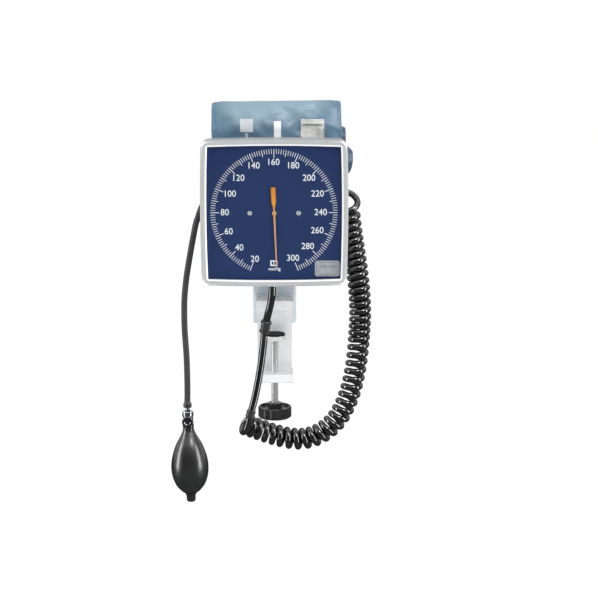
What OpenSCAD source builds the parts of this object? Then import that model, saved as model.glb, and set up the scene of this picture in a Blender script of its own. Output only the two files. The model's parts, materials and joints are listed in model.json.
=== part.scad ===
// Aneroid sphygmomanometer for a bed rail: a square dial head with a cuff basket behind it,
// held by a screw clamp, with a coiled cuff hose, a gauge hose and a rubber inflation bulb.
// Millimetres. The origin lies on the axis of the rail, at the middle of the clamp.
// +X is to the right of the dial, -Y is towards the reader, +Z is up.

/* [Rail clamp] */
// Diameter of the rail that the clamp takes
rail_d = 32; // [25:1:34]
// Width of the clamp along the rail
clamp_w = 43; // [36:1:50]
// Reach of the jaws in front of the rail's axis
jaw_reach = 17; // [16:0.5:18]
// Height of the top of the upper jaw
jaw_top = 26; // [24:0.5:30]
// Height of the top of the lower arm, below the rail's axis
arm_top = -62; // [-66:1:-60]
// Thickness of the lower arm
arm_t = 10; // [8:0.5:12]
// Thickness of the web behind the rail
web_t = 5; // [4:0.5:6]
// Width of the web between the jaws
web_w = 40.4; // [36:0.2:50]
// Diameter of the clamp screw
screw_d = 8; // [6:1:10]
// Diameter of the clamp knob
knob_d = 39; // [34:1:42]
// Height of the clamp knob
knob_h = 13.4; // [10:0.2:14]
// Diameter of the pad under the rail
pad_d = 25; // [20:1:26]

/* [Gauge head] */
// Width and height of the head
head_w = 165; // [155:1:170]
// Outward bow of each side of the head
side_bow = 1.4; // [0:0.1:2]
// Height of the dial's centre above the rail's axis
head_z = 134; // [130:1:140]
// Width and height of the dial window
window_w = 151; // [145:0.5:152]
// Depth of the head from its front rim to its back
head_depth = 30; // [28:1:32]
// Radius from the pointer's axis to its tip
pointer_r = 63.5; // [58:0.5:66]
// Lean of the resting pointer to the right of straight down, in degrees
pointer_lean = 2.3; // [0:0.1:4]

/* [Movement] */
// Gear module of pinion and sector
gear_m = 0.6; // [0.5:0.05:0.65]
// Teeth of the pinion
pinion_teeth = 12; // [12:1:14]
// Teeth that the sector would have as a whole wheel
sector_teeth = 120; // [110:10:120]
// Turn of the pointer from rest to 300 mmHg, in degrees
pointer_span = 340; // [320:1:340]
// Turn of the rocker shaft over that span, in degrees
rocker_span = 30; // [26:1:30]
// Diameter of the pressure capsule
capsule_d = 44; // [38:1:46]

/* [Basket and cuff] */
// Outer width of the basket
basket_w = 142; // [136:1:144]
// Wall of the basket
basket_wall = 2.5; // [2:0.5:3]
// Height of the top edge of the folded cuff
cuff_top = 254; // [248:1:256]

/* [Hoses and bulb] */
// Outer diameter of the gauge hose
hose_d = 8.4; // [7:0.2:9]
// Outer diameter of the coiled tube
coil_tube_d = 7.2; // [6:0.1:7.2]
// Radius of the coil at the middle of its tube
coil_r = 9.15; // [9:0.05:9.6]
// Number of turns of the coil
coil_turns = 41; // [38:1:41]
// Outer diameter of the bulb's tube
bulb_tube_d = 7; // [6:0.2:8]
// Largest diameter of the bulb
bulb_d = 43.5; // [38:0.5:46]
// Lean of the hanging bulb, in degrees
bulb_lean = 1.5; // [0:0.1:3]

/* [Hidden] */

rail_r = rail_d / 2;
eps = 0.01;
pi = 3.14159265;

// Planes of the head and basket, along Y
rim_y = -67;
back_y = rim_y + head_depth;
shell_t = 2.5;
split_y = rim_y + 6;
window_inset = (head_w - window_w) / 2;
lens_inset = window_inset - 2;
lens_front = rim_y + 1.5;
lens_back = lens_front + 1;
dial_front = rim_y + 5;
web_in = 14.5;
web_out = web_in + web_t;
lip_z = 14.5;
plate_t = 2;
plate_w = 51;
plate_bottom = -8;
plate_top = 150;
basket_back = web_out;
basket_front = back_y;
basket_bottom = 58;
basket_side_top = 132;
basket_front_top = 196;
basket_back_top = 158;
basket_screw_x = 16;
basket_screw_z = [80, 135];
case_screw_x = 40;
case_screw_z = [99, 169];

// Clamp screw, pad and knob, along Z
pad_top = -rail_r - 0.05;
pad_rubber_t = 2;
cup_bottom = pad_top - 6.9;
socket_bottom = cup_bottom - 1.6;
screw_top = pad_top - 4.6;
knob_top = -103.4;
knob_bottom = knob_top - knob_h;
hub_top = knob_top + 4.5;
running_gap = 0.05;

// Planes of the movement, along Y
case_floor = back_y - shell_t;
base_front = case_floor - 1.5;
capsule_front = base_front - 7;
rear_plate_back = capsule_front - 1.5;
rear_plate_front = rear_plate_back - 1;
rocker_y = rear_plate_front - 1.5;
gear_back = rear_plate_front - 6.6;
gear_front = gear_back - 0.8;
front_plate_back = gear_front - 0.5;
front_plate_front = front_plate_back - 1;
pointer_back = dial_front - 1.4;
pointer_front = pointer_back - 0.5;
arbor_r = 0.8;
pivot_r = 0.5;

// Gear train: the rocker's blade pushes the sector's heel, and the sector turns the pinion
sector_r = gear_m * sector_teeth / 2;
pinion_r = gear_m * pinion_teeth / 2;
sector_z = head_z - sector_r - pinion_r - 0.05;
sector_span = pointer_span * pinion_teeth / sector_teeth;
rocker_arm = 3.6;
capsule_arm = 3;
heel_r = rocker_arm * sin(rocker_span / 2) / sin(sector_span / 2);
rocker_x = -0.95;
capsule_x = rocker_x - capsule_arm * cos(rocker_span / 2);
capsule_z = 116;
pillar_x = 24;
pillar_z = [86, 142];
dial_screw_x = 27.2;
port_x = -2.5;
port_y = -52;
head_bottom = head_z - head_w / 2;

// Vector helpers
function unit(v) = v / norm(v);
function mix(a, b, t) = a + (b - a) * t;

// A point of a smooth curve through the points p, where u counts points
function curve_at(p, u) =
    let (n = len(p) - 1,
         i = min(n - 1, max(0, floor(u))),
         t = u - i,
         a = p[max(0, i - 1)], b = p[i], c = p[i + 1], d = p[min(n, i + 2)])
    0.5 * (2 * b + (c - a) * t + (2 * a - 5 * b + 4 * c - d) * t * t
        + (3 * b - a - 3 * c + d) * t * t * t);

// Tangents along a list of points
function tangents(p) = [for (i = [0 : len(p) - 1])
    unit(p[min(len(p) - 1, i + 1)] - p[max(0, i - 1)])];

// Directions across a tube, each carried on from the one before without twist
function carried(t, first, i = 0) = i >= len(t) ? [] :
    let (n = unit(first - t[i] * (first * t[i])))
    concat([n], carried(t, n, i + 1));

// A tube of even section swept along the points p
module tube(p, d, sides = 8, first = [0, 1, 0]) {
    t = tangents(p);
    n = carried(t, first);
    count = len(p);
    ring = [for (i = [0 : count - 1]) for (k = [0 : sides - 1])
        let (a = 360 * k / sides, m = cross(t[i], n[i]))
        p[i] + d / 2 * (n[i] * cos(a) + m * sin(a))];
    walls = [for (i = [0 : count - 2]) for (k = [0 : sides - 1])
        let (a = i * sides + k, b = i * sides + (k + 1) % sides)
        each [[a, a + sides, b], [b, a + sides, b + sides]]];
    first_cap = [for (k = [1 : sides - 2]) [0, k, k + 1]];
    last = (count - 1) * sides;
    last_cap = [for (k = [1 : sides - 2]) [last, last + k + 1, last + k]];
    polyhedron(ring, concat(walls, first_cap, last_cap));
}

// A solid between y0 and y1 with the outline given in X and Z
module slab(y0, y1) {
    translate([0, y1, 0]) rotate([90, 0, 0]) linear_extrude(y1 - y0) children();
}

// A round bar along Y
module bar_y(r, y0, y1) {
    translate([0, y1, 0]) rotate([90, 0, 0]) cylinder(r = r, h = y1 - y0, $fn = 48);
}

// A round bar along X
// Outline of a square with rounded corners and bowed sides, centred on 0
corner_steps = 5;
side_steps = 6;
function turned(p, a) = [p[0] * cos(a) - p[1] * sin(a), p[0] * sin(a) + p[1] * cos(a)];
function bow(p, h, s) = [
    p[0] + s * p[0] / h * (1 - pow(p[1] / h, 2)),
    p[1] + s * p[1] / h * (1 - pow(p[0] / h, 2))];
function quarter(h, r) = concat(
    [for (k = [0 : corner_steps]) let (a = 90 * k / corner_steps)
        [h - r + r * cos(a), h - r + r * sin(a)]],
    [for (k = [1 : side_steps - 1]) [mix(h - r, r - h, k / side_steps), h]]);
function bowed_square(w, r, s) =
    let (h = w / 2 - s)
    [for (a = [0, 90, 180, 270]) for (p = quarter(h, r)) bow(turned(p, a), h, s)];

// A closed skin through rings of equal length, each given as points
module skin(rings) {
    n = len(rings[0]);
    m = len(rings);
    points = [for (r = rings) each r];
    walls = [for (j = [0 : m - 2]) for (i = [0 : n - 1])
        let (a = j * n + i, b = j * n + (i + 1) % n)
        each [[a, b, a + n], [b, b + n, a + n]]];
    first_cap = [[for (i = [n - 1 : -1 : 0]) i]];
    last_cap = [[for (i = [0 : n - 1]) (m - 1) * n + i]];
    polyhedron(points, concat(first_cap, walls, last_cap));
}

// A frame whose section runs round the head's outline; section gives inset, y and corner radius
module rim(section) {
    outlines = [for (s = section) [for (p = bowed_square(head_w - 2 * s[0], s[2], side_bow))
        [p[0], s[1], head_z + p[1]]]];
    n = len(outlines[0]);
    m = len(section);
    points = [for (o = outlines) each o];
    polyhedron(points, [for (j = [0 : m - 1]) for (i = [0 : n - 1])
        let (a = j * n + i, b = j * n + (i + 1) % n,
             c = ((j + 1) % m) * n + i, d = ((j + 1) % m) * n + (i + 1) % n)
        each [[a, c, b], [b, c, d]]]);
}

module head_outline(inset, r) {
    translate([0, head_z]) polygon(bowed_square(head_w - 2 * inset, r, side_bow));
}

// A solid along X, centred, with its section given in Y and Z
module along_x(w) {
    rotate([90, 0, 90]) linear_extrude(w, center = true) children();
}

// A rectangle between two corners with round corners
module round_rect(a, b, r) {
    translate([a[0] + r, a[1]]) square([b[0] - a[0] - 2 * r, b[1] - a[1]]);
    translate([a[0], a[1] + r]) square([b[0] - a[0], b[1] - a[1] - 2 * r]);
    for (x = [a[0] + r, b[0] - r], y = [a[1] + r, b[1] - r]) translate([x, y]) circle(r, $fn = 32);
}

// Places children at p, with their Z axis towards q
module towards(p, q) {
    v = q - p;
    translate(p) rotate([0, acos(v[2] / norm(v)), atan2(v[1], v[0])]) children();
}

// A turned piece along Z through the points [radius, height]
module turned_piece(p) {
    rotate_extrude($fn = 64) polygon(p);
}

// A pan-head screw along Z, its head below z = 0 and its shank above
module screw(head_r, head_h, shank_r, shank_l) {
    difference() {
        turned_piece([[0, -head_h], [head_r * 0.7, -head_h], [head_r, -head_h * 0.4], [head_r, 0],
            [shank_r, 0], [shank_r, shank_l], [0, shank_l]]);
        for (a = [0, 90]) rotate([0, 0, a])
            translate([-head_r * 0.55, -head_r * 0.12, -head_h - eps])
                cube([head_r * 1.1, head_r * 0.24, head_h * 0.5]);
    }
}

// Angle, in degrees, between the start of an involute on the base circle and its point at radius r
function involute(base, r) =
    let (t = sqrt(max(0, pow(r / base, 2) - 1)))
    t * 180 / pi - atan(t);

// Outline of one involute tooth of a wheel with z teeth, set in its root, centred on the angle middle
tooth_slack = 0.12;
addendum = 0.8;
dedendum = 1.2;
flank_steps = 4;
function flank(base, start, tip, middle, half, side) =
    [for (k = [0 : flank_steps]) let (r = mix(start, tip, k / flank_steps), a = half - involute(base, r))
        [r * cos(middle + side * a), r * sin(middle + side * a)]];
function backwards(p) = [for (i = [len(p) - 1 : -1 : 0]) p[i]];
function tooth(z, middle) =
    let (rp = gear_m * z / 2,
         base = rp * cos(20),
         tip = rp + addendum * gear_m,
         root = rp - dedendum * gear_m,
         half = 90 / z - tooth_slack / rp * 90 / pi + involute(base, rp),
         start = max(base, root - 0.1),
         foot = half - involute(base, start),
         inner = root - 1)
    concat(
        [[inner * cos(middle - foot), inner * sin(middle - foot)]],
        flank(base, start, tip, middle, half, -1),
        backwards(flank(base, start, tip, middle, half, 1)),
        [[inner * cos(middle + foot), inner * sin(middle + foot)]]);

// Rail clamp

module clamp_section() {
    difference() {
        union() {
            round_rect([-jaw_reach, lip_z], [web_out, jaw_top], 1.5);
            round_rect([-jaw_reach, arm_top - arm_t], [web_out, arm_top], 1.5);
            translate([web_in, arm_top - arm_t / 2]) square([web_t, jaw_top - arm_top + arm_t / 2 - 5]);
            translate([0, -1]) square([web_in + eps, lip_z + 2]);
            translate([web_in - 5, arm_top - eps]) square(5 + eps);
        }
        circle(rail_r, $fn = 96);
        translate([web_in - 5, arm_top + 5]) circle(5, $fn = 32);
    }
}

module clamp_body() {
    color("whitesmoke") difference() {
        along_x(clamp_w) clamp_section();
        translate([0, 0, arm_top - arm_t - 1])
            cylinder(d = screw_d + 2 * running_gap, h = arm_t + 2, $fn = 64);
        for (x = [-1, 1]) {
            translate([x > 0 ? web_w / 2 : -web_w / 2 - clamp_w, 8, arm_top + eps])
                cube([clamp_w, web_out, -arm_top - 2]);
            translate([x * (clamp_w / 2 - 3.5), 4, jaw_top - 6]) cylinder(r = 1.5, h = 7, $fn = 32);
            translate([x * 11, web_out - 4, 8]) rotate([-90, 0, 0]) cylinder(r = 2, h = 5, $fn = 32);
        }
    }
}

module jaw_screws() {
    color("gainsboro") for (x = [-1, 1])
        translate([x * (clamp_w / 2 - 3.5), 4, jaw_top]) rotate([180, 0, 0]) screw(2.4, 0.9, 1.5, 5.5);
}

module plate_section() {
    difference() {
        round_rect([-plate_w / 2, web_out], [plate_w / 2, web_out + 9], 2.5);
        translate([-plate_w / 2 + plate_t, web_out + plate_t]) square([plate_w - 2 * plate_t, 12]);
        translate([-plate_w, web_out + 6.5]) square([2 * plate_w, 10]);
    }
}

module mount_plate() {
    color("lightsteelblue") difference() {
        translate([0, 0, plate_bottom]) linear_extrude(plate_top - plate_bottom) plate_section();
        for (x = [-11, 11]) translate([x, web_out - 1, 8])
            rotate([-90, 0, 0]) cylinder(r = 2, h = 5, $fn = 32);
        for (x = [-1, 1], z = basket_screw_z) translate([x * basket_screw_x, web_out - 1, z])
            rotate([-90, 0, 0]) cylinder(r = 2, h = 5, $fn = 32);
    }
}

module plate_screws() {
    color("silver") for (x = [-11, 11]) translate([x, web_out + plate_t, 8])
        rotate([90, 0, 0]) screw(3.8, 2.6, 2, plate_t + 3.5);
}

module pad_rubber() {
    color("dimgray") turned_piece([[0, pad_top - pad_rubber_t], [pad_d / 2 - 0.3, pad_top - pad_rubber_t],
        [pad_d / 2 - 0.3, pad_top - 0.4], [pad_d / 2 - 0.7, pad_top], [0, pad_top]]);
}

module pad_cup() {
    bore = screw_d / 2 + running_gap;
    top = pad_top - pad_rubber_t;
    color("silver") turned_piece([[0, top], [pad_d / 2, top], [pad_d / 2, top - 2.4],
        [pad_d / 2 - 0.2, cup_bottom + 0.6], [pad_d / 2 - 0.8, cup_bottom], [5.6, cup_bottom],
        [5.2, socket_bottom],
        [bore, socket_bottom], [bore, screw_top + running_gap], [0, screw_top + running_gap]]);
}

module clamp_screw() {
    r = screw_d / 2;
    color("silver") turned_piece([[0, screw_top], [r - 1, screw_top], [r, screw_top - 1],
        [r, knob_bottom + 3], [r - 1, knob_bottom + 2], [0, knob_bottom + 2]]);
}

module clamp_knob() {
    r = screw_d / 2;
    k = knob_d / 2;
    color("dimgray") difference() {
        turned_piece([[r, hub_top], [7.6, hub_top], [8.2, hub_top - 0.6], [8.2, knob_top - 3.2],
            [k - 2.6, knob_top - 3.2], [k - 2.2, knob_top], [k - 0.8, knob_top], [k, knob_top - 0.8],
            [k, knob_bottom + 1.5], [k - 1.8, knob_bottom], [0, knob_bottom],
            [0, knob_bottom + 2], [r - 1, knob_bottom + 2], [r, knob_bottom + 3]]);
        for (i = [0 : 7]) rotate([0, 0, 45 * i + 22.5]) translate([k + 7.8, 0, knob_bottom - 1])
            cylinder(r = 9, h = knob_h + 2, $fn = 48);
    }
}

// Basket behind the head

module basket_plan(inset) {
    round_rect([-basket_w / 2 + inset, basket_front + inset], [basket_w / 2 - inset, basket_back - inset],
        10 - inset);
}

module cuff_basket() {
    depth = basket_back - basket_front;
    color("gainsboro") difference() {
        translate([0, 0, basket_bottom]) linear_extrude(basket_front_top - basket_bottom) basket_plan(0);
        translate([0, 0, basket_bottom + basket_wall]) linear_extrude(200) basket_plan(basket_wall);
        along_x(basket_w + 2) union() {
            round_rect([basket_front + 10, basket_side_top], [basket_back - 10, basket_front_top + 30], 8);
            translate([basket_front + 10, basket_back_top]) square([depth, 60]);
        }
        for (y = [-22, -8, 6]) along_x(basket_w + 2)
            round_rect([y - 3, basket_bottom + 14], [y + 3, basket_side_top - 14], 2.9);
        for (x = [-52 : 26 : 52]) translate([0, 0, basket_bottom - 1]) linear_extrude(basket_wall + 2)
            round_rect([x - 3, -24], [x + 3, 8], 2.9);
        for (x = [-1, 1], z = basket_screw_z) translate([x * basket_screw_x, basket_back - 4, z])
            rotate([-90, 0, 0]) cylinder(r = 2, h = 5, $fn = 32);
        for (x = [-1, 1], z = case_screw_z) translate([x * case_screw_x, basket_front - 1, z])
            rotate([-90, 0, 0]) cylinder(r = 1.75, h = 5, $fn = 32);
    }
}

module basket_screws() {
    color("silver") for (x = [-1, 1], z = basket_screw_z)
        translate([x * basket_screw_x, basket_back - basket_wall, z]) rotate([-90, 0, 0])
            screw(3.8, 2.4, 2, basket_wall + plate_t + 3.2);
}

module basket_nuts() {
    color("silver") for (x = [-1, 1], z = basket_screw_z)
        translate([x * basket_screw_x, web_out + plate_t, z]) rotate([-90, 0, 0]) difference() {
            cylinder(r = 4, h = 3, $fn = 6);
            translate([0, 0, -1]) cylinder(r = 2, h = 5, $fn = 32);
        }
}

module case_screws() {
    color("silver") for (x = [-1, 1], z = case_screw_z)
        translate([x * case_screw_x, basket_front + basket_wall, z]) rotate([90, 0, 0])
            screw(3.4, 2.2, 1.75, basket_wall + shell_t + 5);
}

// Gauge head

module rear_case() {
    edge = [[0, split_y, 9], [0, back_y - 3.5, 9], [0.5, back_y - 1.6, 8.5], [1.8, back_y - 0.4, 7.5],
        [3.6, back_y, 6]];
    color("whitesmoke") difference() {
        skin([for (e = edge) [for (p = bowed_square(head_w - 2 * e[0], e[2], side_bow))
            [p[0], e[1], head_z + p[1]]]]);
        slab(split_y + 1.5, case_floor) head_outline(shell_t, 6.5);
        slab(split_y - 1, split_y + 2) head_outline(window_inset, 2);
        translate([port_x, port_y, head_bottom - 2]) cylinder(r = 3.2, h = shell_t + 4, $fn = 48);
        for (x = [-1, 1], z = case_screw_z) translate([x * case_screw_x, 0, z])
            bar_y(1.75, case_floor - eps, back_y + 1);
        for (x = [-16, 16], z = [78, 150]) translate([x, 0, z]) bar_y(1.2, case_floor - 1, case_floor + 1.7);
    }
    color("whitesmoke") for (x = [-1, 1], z = case_screw_z) translate([x * case_screw_x, 0, z])
        difference() {
            bar_y(4, case_floor - 8, case_floor + 0.5);
            bar_y(1.75, case_floor - 6, case_floor + 1);
        }
}

module front_bezel() {
    color("whitesmoke") rim([[0, split_y, 9], [0, rim_y + 2, 9], [0.35, rim_y + 1, 8.7],
        [1.2, rim_y + 0.25, 8], [2.4, rim_y, 7], [window_inset - 1.9, rim_y, 3],
        [window_inset, rim_y + 1.1, 0.8], [window_inset, lens_front, 0.8], [lens_inset, lens_front, 2.5],
        [lens_inset, dial_front, 2.5], [3, dial_front, 6], [3, split_y, 6]]);
}

module lens() {
    color("azure", 0.3) slab(lens_front, lens_back) head_outline(lens_inset, 2.5);
}

module lens_gasket() {
    color("white") slab(lens_back, dial_front) difference() {
        head_outline(lens_inset, 2.5);
        head_outline(window_inset, 0.8);
    }
}

module dial_plate() {
    color("darkslateblue") difference() {
        slab(dial_front, split_y) head_outline(3, 6);
        translate([0, 0, head_z]) bar_y(2.5, dial_front - 1, split_y + 1);
        for (x = [-1, 1]) translate([x * dial_screw_x, 0, head_z]) bar_y(1.2, dial_front - 1, split_y + 1);
    }
}

module dial_screws() {
    color("white") for (x = [-1, 1]) translate([x * dial_screw_x, 0, head_z]) difference() {
        union() {
            bar_y(2.5, dial_front - 0.8, dial_front);
            bar_y(1.2, dial_front - 0.1, split_y + 1.4);
        }
        translate([-3, dial_front - 1, -0.3]) cube([6, 0.6, 0.6]);
    }
}

module pointer() {
    color("orange") difference() {
        slab(pointer_front, pointer_back) translate([0, head_z]) rotate(pointer_lean) {
            polygon([[-0.95, 5.3], [-3, 12.3], [-3, 28.6], [-2.6, 29], [2.6, 29], [3, 28.6], [3, 12.3],
                [0.95, 5.3], [0.95, 0], [1.3, -4], [0.65, -pointer_r + 4], [0, -pointer_r],
                [-0.65, -pointer_r + 4], [-1.3, -4], [-0.95, 0]]);
            circle(2.6, $fn = 48);
        }
        translate([0, 0, head_z]) bar_y(arbor_r, pointer_front - 1, pointer_back + 1);
    }
}

module pointer_cap() {
    color("orange") translate([0, 0, head_z]) difference() {
        bar_y(2.2, pointer_front - 0.45, pointer_front);
        bar_y(arbor_r, pointer_front - 1, pointer_front + 1);
    }
}

// Movement

// Turn of the pinion that puts a gap between its teeth over a tooth of the resting sector
pinion_phase = 270 + pointer_span / 2 + 180 / pinion_teeth;
module pinion_arbor() {
    color("gold") translate([0, 0, head_z]) {
        bar_y(arbor_r, pointer_front - 0.2, rear_plate_front - 0.2);
        bar_y(pivot_r, rear_plate_front - 0.3, rear_plate_back);
        bar_y(1.5, rear_plate_front - 3.8, rear_plate_front - 2.8);
        rotate([0, -pinion_phase, 0]) slab(gear_front - 0.1, gear_back + 0.4) {
            for (i = [0 : pinion_teeth - 1]) polygon(tooth(pinion_teeth, 360 * i / pinion_teeth));
            circle(pinion_r - dedendum * gear_m, $fn = 32);
        }
    }
}

// Toothed sector: a pierced wedge with a hub, and a heel pin on the far side of its hub
sector_rim = sector_r - dedendum * gear_m;
module wedge(half_angle, apex) {
    polygon([[0, apex], [-60 * tan(half_angle), 60], [60 * tan(half_angle), 60]]);
}
module sector_windows() {
    intersection() {
        difference() {
            circle(sector_r - 4, $fn = 128);
            circle(8, $fn = 48);
        }
        for (a = [-9, 9]) rotate(a) wedge(6.7, 4);
    }
}
module sector_gear() {
    pin_back = gear_back + 1.9;
    color("gold") translate([0, 0, sector_z]) rotate([0, sector_span / 2, 0]) difference() {
        union() {
            slab(gear_front, gear_back) {
                for (i = [-7 : 7]) polygon(tooth(sector_teeth, 90 + 360 * i / sector_teeth));
                intersection() {
                    circle(sector_rim, $fn = 128);
                    wedge(23, -3);
                }
                circle(2.2, $fn = 32);
                translate([-1, -heel_r]) square([2, heel_r]);
                translate([0, -heel_r]) circle(1, $fn = 32);
            }
            bar_y(2.2, gear_front, gear_back + 0.8);
            translate([0, 0, -heel_r]) bar_y(0.4, gear_front, pin_back);
        }
        bar_y(arbor_r + running_gap, gear_front - 1, gear_back + 2);
        slab(gear_front - 1, gear_back + 1) sector_windows();
    }
}

module sector_stud() {
    color("silver") translate([0, 0, sector_z]) {
        bar_y(arbor_r, front_plate_front, gear_back + 1);
        bar_y(1.8, gear_back + 0.85, gear_back + 1.4);
    }
}

module rocker_shaft() {
    color("silver") translate([rocker_x, rocker_y, 0]) {
        translate([0, 0, 86.1]) cylinder(r = arbor_r, h = 35.8, $fn = 32);
        translate([0, 0, 84.4]) cylinder(r = pivot_r, h = 39.2, $fn = 32);
        rotate([0, 0, -rocker_span / 2]) {
            translate([-0.4, -rocker_arm - 0.4, sector_z - heel_r - 0.6]) cube([0.8, rocker_arm + 0.4, 1.2]);
            translate([-capsule_arm - 1, -0.4, capsule_z - 0.6]) cube([capsule_arm + 1, 0.8, 1.2]);
        }
    }
}

module capsule() {
    r = capsule_d / 2;
    mid = (base_front + capsule_front) / 2;
    waves = [for (x = [3 : 1 : r - 2]) [x, 2.4 - 1.4 * x / r + 0.35 * cos(120 * x)]];
    color("goldenrod") translate([capsule_x, mid, capsule_z]) rotate([90, 0, 0])
        turned_piece(concat([[0, -3.5], [2.6, -3.5]], [for (w = waves) [w[0], -w[1]]],
            [[r - 1.6, -0.4], [r, -0.4], [r, 0.4], [r - 1.6, 0.4]],
            backwards(waves), [[2.6, 3.5], [0, 3.5]]));
}

module capsule_pin() {
    tip = rocker_y + capsule_arm * sin(rocker_span / 2) + 0.6;
    color("silver") translate([capsule_x, 0, capsule_z]) {
        bar_y(2.2, capsule_front - 0.6, capsule_front);
        bar_y(0.5, tip, capsule_front - 0.5);
    }
}

// Flat spiral hairspring between the arbor's collet and a stud on the rear plate
spring_turns = 5.5;
spring_inner = 1.8;
spring_pitch = 1.05;
spring_outer = spring_inner + spring_pitch * spring_turns;
spring_steps = 24;
function spring_edge(offset) = [for (i = [0 : spring_steps * spring_turns])
    let (a = 360 * i / spring_steps, r = spring_inner + spring_pitch * i / spring_steps + offset)
    [r * cos(a), r * sin(a)]];
module hairspring() {
    color("goldenrod") translate([0, 0, head_z]) slab(rear_plate_front - 3.7, rear_plate_front - 2.9)
        polygon(concat(spring_edge(0.12), backwards(spring_edge(-0.12))));
}

module movement_plan(w, z0, z1) {
    round_rect([-w, z0], [w, z1], 3);
}

module movement_base() {
    color("silver") difference() {
        union() {
            slab(base_front, case_floor) movement_plan(28, 74, 154);
            translate([capsule_x - 4, base_front - 6, 82]) cube([8, 6 + eps, 11]);
            translate([capsule_x, base_front - 3.4, 76]) cylinder(r = 1.6, h = 7, $fn = 32);
        }
        for (x = [-16, 16], z = [78, 150]) translate([x, 0, z]) bar_y(1.2, base_front - 1, case_floor + 1);
    }
}

module pillars(r, y0, y1, bore) {
    for (x = [-1, 1], z = pillar_z) translate([x * pillar_x, 0, z]) difference() {
        bar_y(r, y0, y1);
        bar_y(1, y0 - 1, y0 + bore);
    }
}

module rear_pillars() {
    color("silver") pillars(2.2, rear_plate_back, base_front, 0);
}

module front_pillars() {
    color("silver") pillars(2, front_plate_back, rear_plate_front, 5);
}

module movement_rear_plate() {
    color("silver") difference() {
        union() {
            slab(rear_plate_front, rear_plate_back) movement_plan(27.5, 82, 146);
            for (z = [84, 122]) translate([rocker_x - 1.6, rocker_y - 1.4, z])
                cube([3.2, rear_plate_front - rocker_y + 1.4 + eps, 2]);
            translate([-spring_outer, 0, head_z]) bar_y(0.5, rear_plate_front - 3.9, rear_plate_front + eps);
        }
        translate([rocker_x, rocker_y, 83]) cylinder(r = pivot_r + running_gap, h = 42, $fn = 32);
        translate([0, 0, head_z]) bar_y(pivot_r + running_gap, rear_plate_front - 1, rear_plate_back + 1);
        translate([capsule_x, 0, capsule_z]) bar_y(3, rear_plate_front - 1, rear_plate_back + 1);
    }
}

module movement_front_plate() {
    color("silver") difference() {
        union() {
            slab(front_plate_front, front_plate_back) {
                movement_plan(27.5, 82, 90);
                movement_plan(27.5, 130, 146);
                for (x = [-1, 1]) translate([x * pillar_x - 3, 84]) square([6, 60]);
                translate([-3.5, 84]) square([7, 60]);
                round_rect([-31, 130], [31, 138], 3);
            }
            for (x = [-1, 1]) translate([x * dial_screw_x, 0, head_z])
                bar_y(3, split_y, front_plate_front + eps);
        }
        translate([0, 0, head_z]) bar_y(arbor_r + running_gap, split_y, front_plate_back + 1);
        translate([0, 0, sector_z]) bar_y(arbor_r, split_y, front_plate_back + 1);
        for (x = [-1, 1], z = pillar_z) translate([x * pillar_x, 0, z])
            bar_y(1, split_y, front_plate_back + 1);
        for (x = [-1, 1]) translate([x * dial_screw_x, 0, head_z]) bar_y(1.2, split_y - 1, split_y + 1.4);
    }
}

module movement_screws() {
    color("silver") {
        for (x = [-16, 16], z = [78, 150]) translate([x, base_front, z]) rotate([-90, 0, 0])
            screw(2.2, 1.2, 1.2, 3);
        for (x = [-1, 1], z = pillar_z) translate([x * pillar_x, front_plate_front, z]) rotate([-90, 0, 0])
            screw(1.9, 1, 1, 5);
    }
}

module inlet_port() {
    color("silver") translate([port_x, port_y, 0]) turned_piece([[0, 42.5], [2.6, 42.5], [3, 45], [2.6, 45.1],
        [2.6, 49.5], [5, 49.5], [5, head_bottom - 0.02], [3.2, head_bottom - 0.02], [3.2, 60], [1.8, 60],
        [1.8, 66], [0, 66]]);
}

module port_nut() {
    color("silver") translate([port_x, port_y, head_bottom + shell_t + 0.05]) difference() {
        cylinder(r = 5.8, h = 3.4, $fn = 6);
        translate([0, 0, -1]) cylinder(r = 3.2, h = 6, $fn = 48);
    }
}

inner_route = [[-2.5, -52, 61], [-2.5, -52, 66], [-2.7, -50.6, 70.5], [-3.2, -47.6, 73.6],
    [-3.7, -45, 76.4], [capsule_x, base_front - 3.4, 79.5], [capsule_x, base_front - 3.4, 81.9]];
module inner_tube() {
    color("dimgray") tube(inner_route, 5);
}

// Hoses on the front, from the head's inlet to the coil

gauge_route = [[-2.5, -52, 49.4], [-2.5, -52, 43], [-3, -51.7, 37], [-4, -51, 31], [-5.5, -49.5, 24],
    [-7, -47.6, 17.5], [-8.5, -45.4, 11], [-9.2, -44.4, 8]];
link_route = [[-11.5, -42.2, -6.5], [-12.2, -42.1, -15], [-13.8, -42.4, -29], [-15.8, -43.5, -44],
    [-18.3, -45.2, -59], [-21, -47.3, -73], [-24, -50, -86], [-26.6, -52, -95]];
connector_top = [-9.2, -44.4, 8];
connector_end = [-11.5, -42.2, -6.5];
collar_top = [-26.6, -52, -95];
collar_end = [-29, -53.3, -104];

module gauge_hose() {
    color("dimgray") tube(gauge_route, hose_d);
}

module link_hose() {
    color("dimgray") tube(link_route, hose_d);
}

module hose_connector() {
    l = norm(connector_end - connector_top);
    color("dimgray") towards(connector_top, connector_end)
        turned_piece([[0, 0], [5.6, 0], [6.2, 0.6], [6.2, 3.4], [4.9, 4], [4.9, 5.6], [5.5, 6], [5.5, 9.4],
            [4.9, 9.8], [4.9, 11], [6.2, 11.6], [6.2, l - 0.6], [5.6, l], [0, l]]);
}

module coil_connector() {
    l = norm(collar_end - collar_top);
    color("dimgray") towards(collar_top, collar_end)
        turned_piece([[0, 0], [4.6, 0], [5.3, 0.8], [5.3, 3.2], [4.9, 3.6], [4.9, 5], [5.3, 5.4],
            [5.3, l - 1.5], [4.2, l], [0, l]]);
}

// Coiled tube: a right-hand helix wound round a smooth axis

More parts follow.
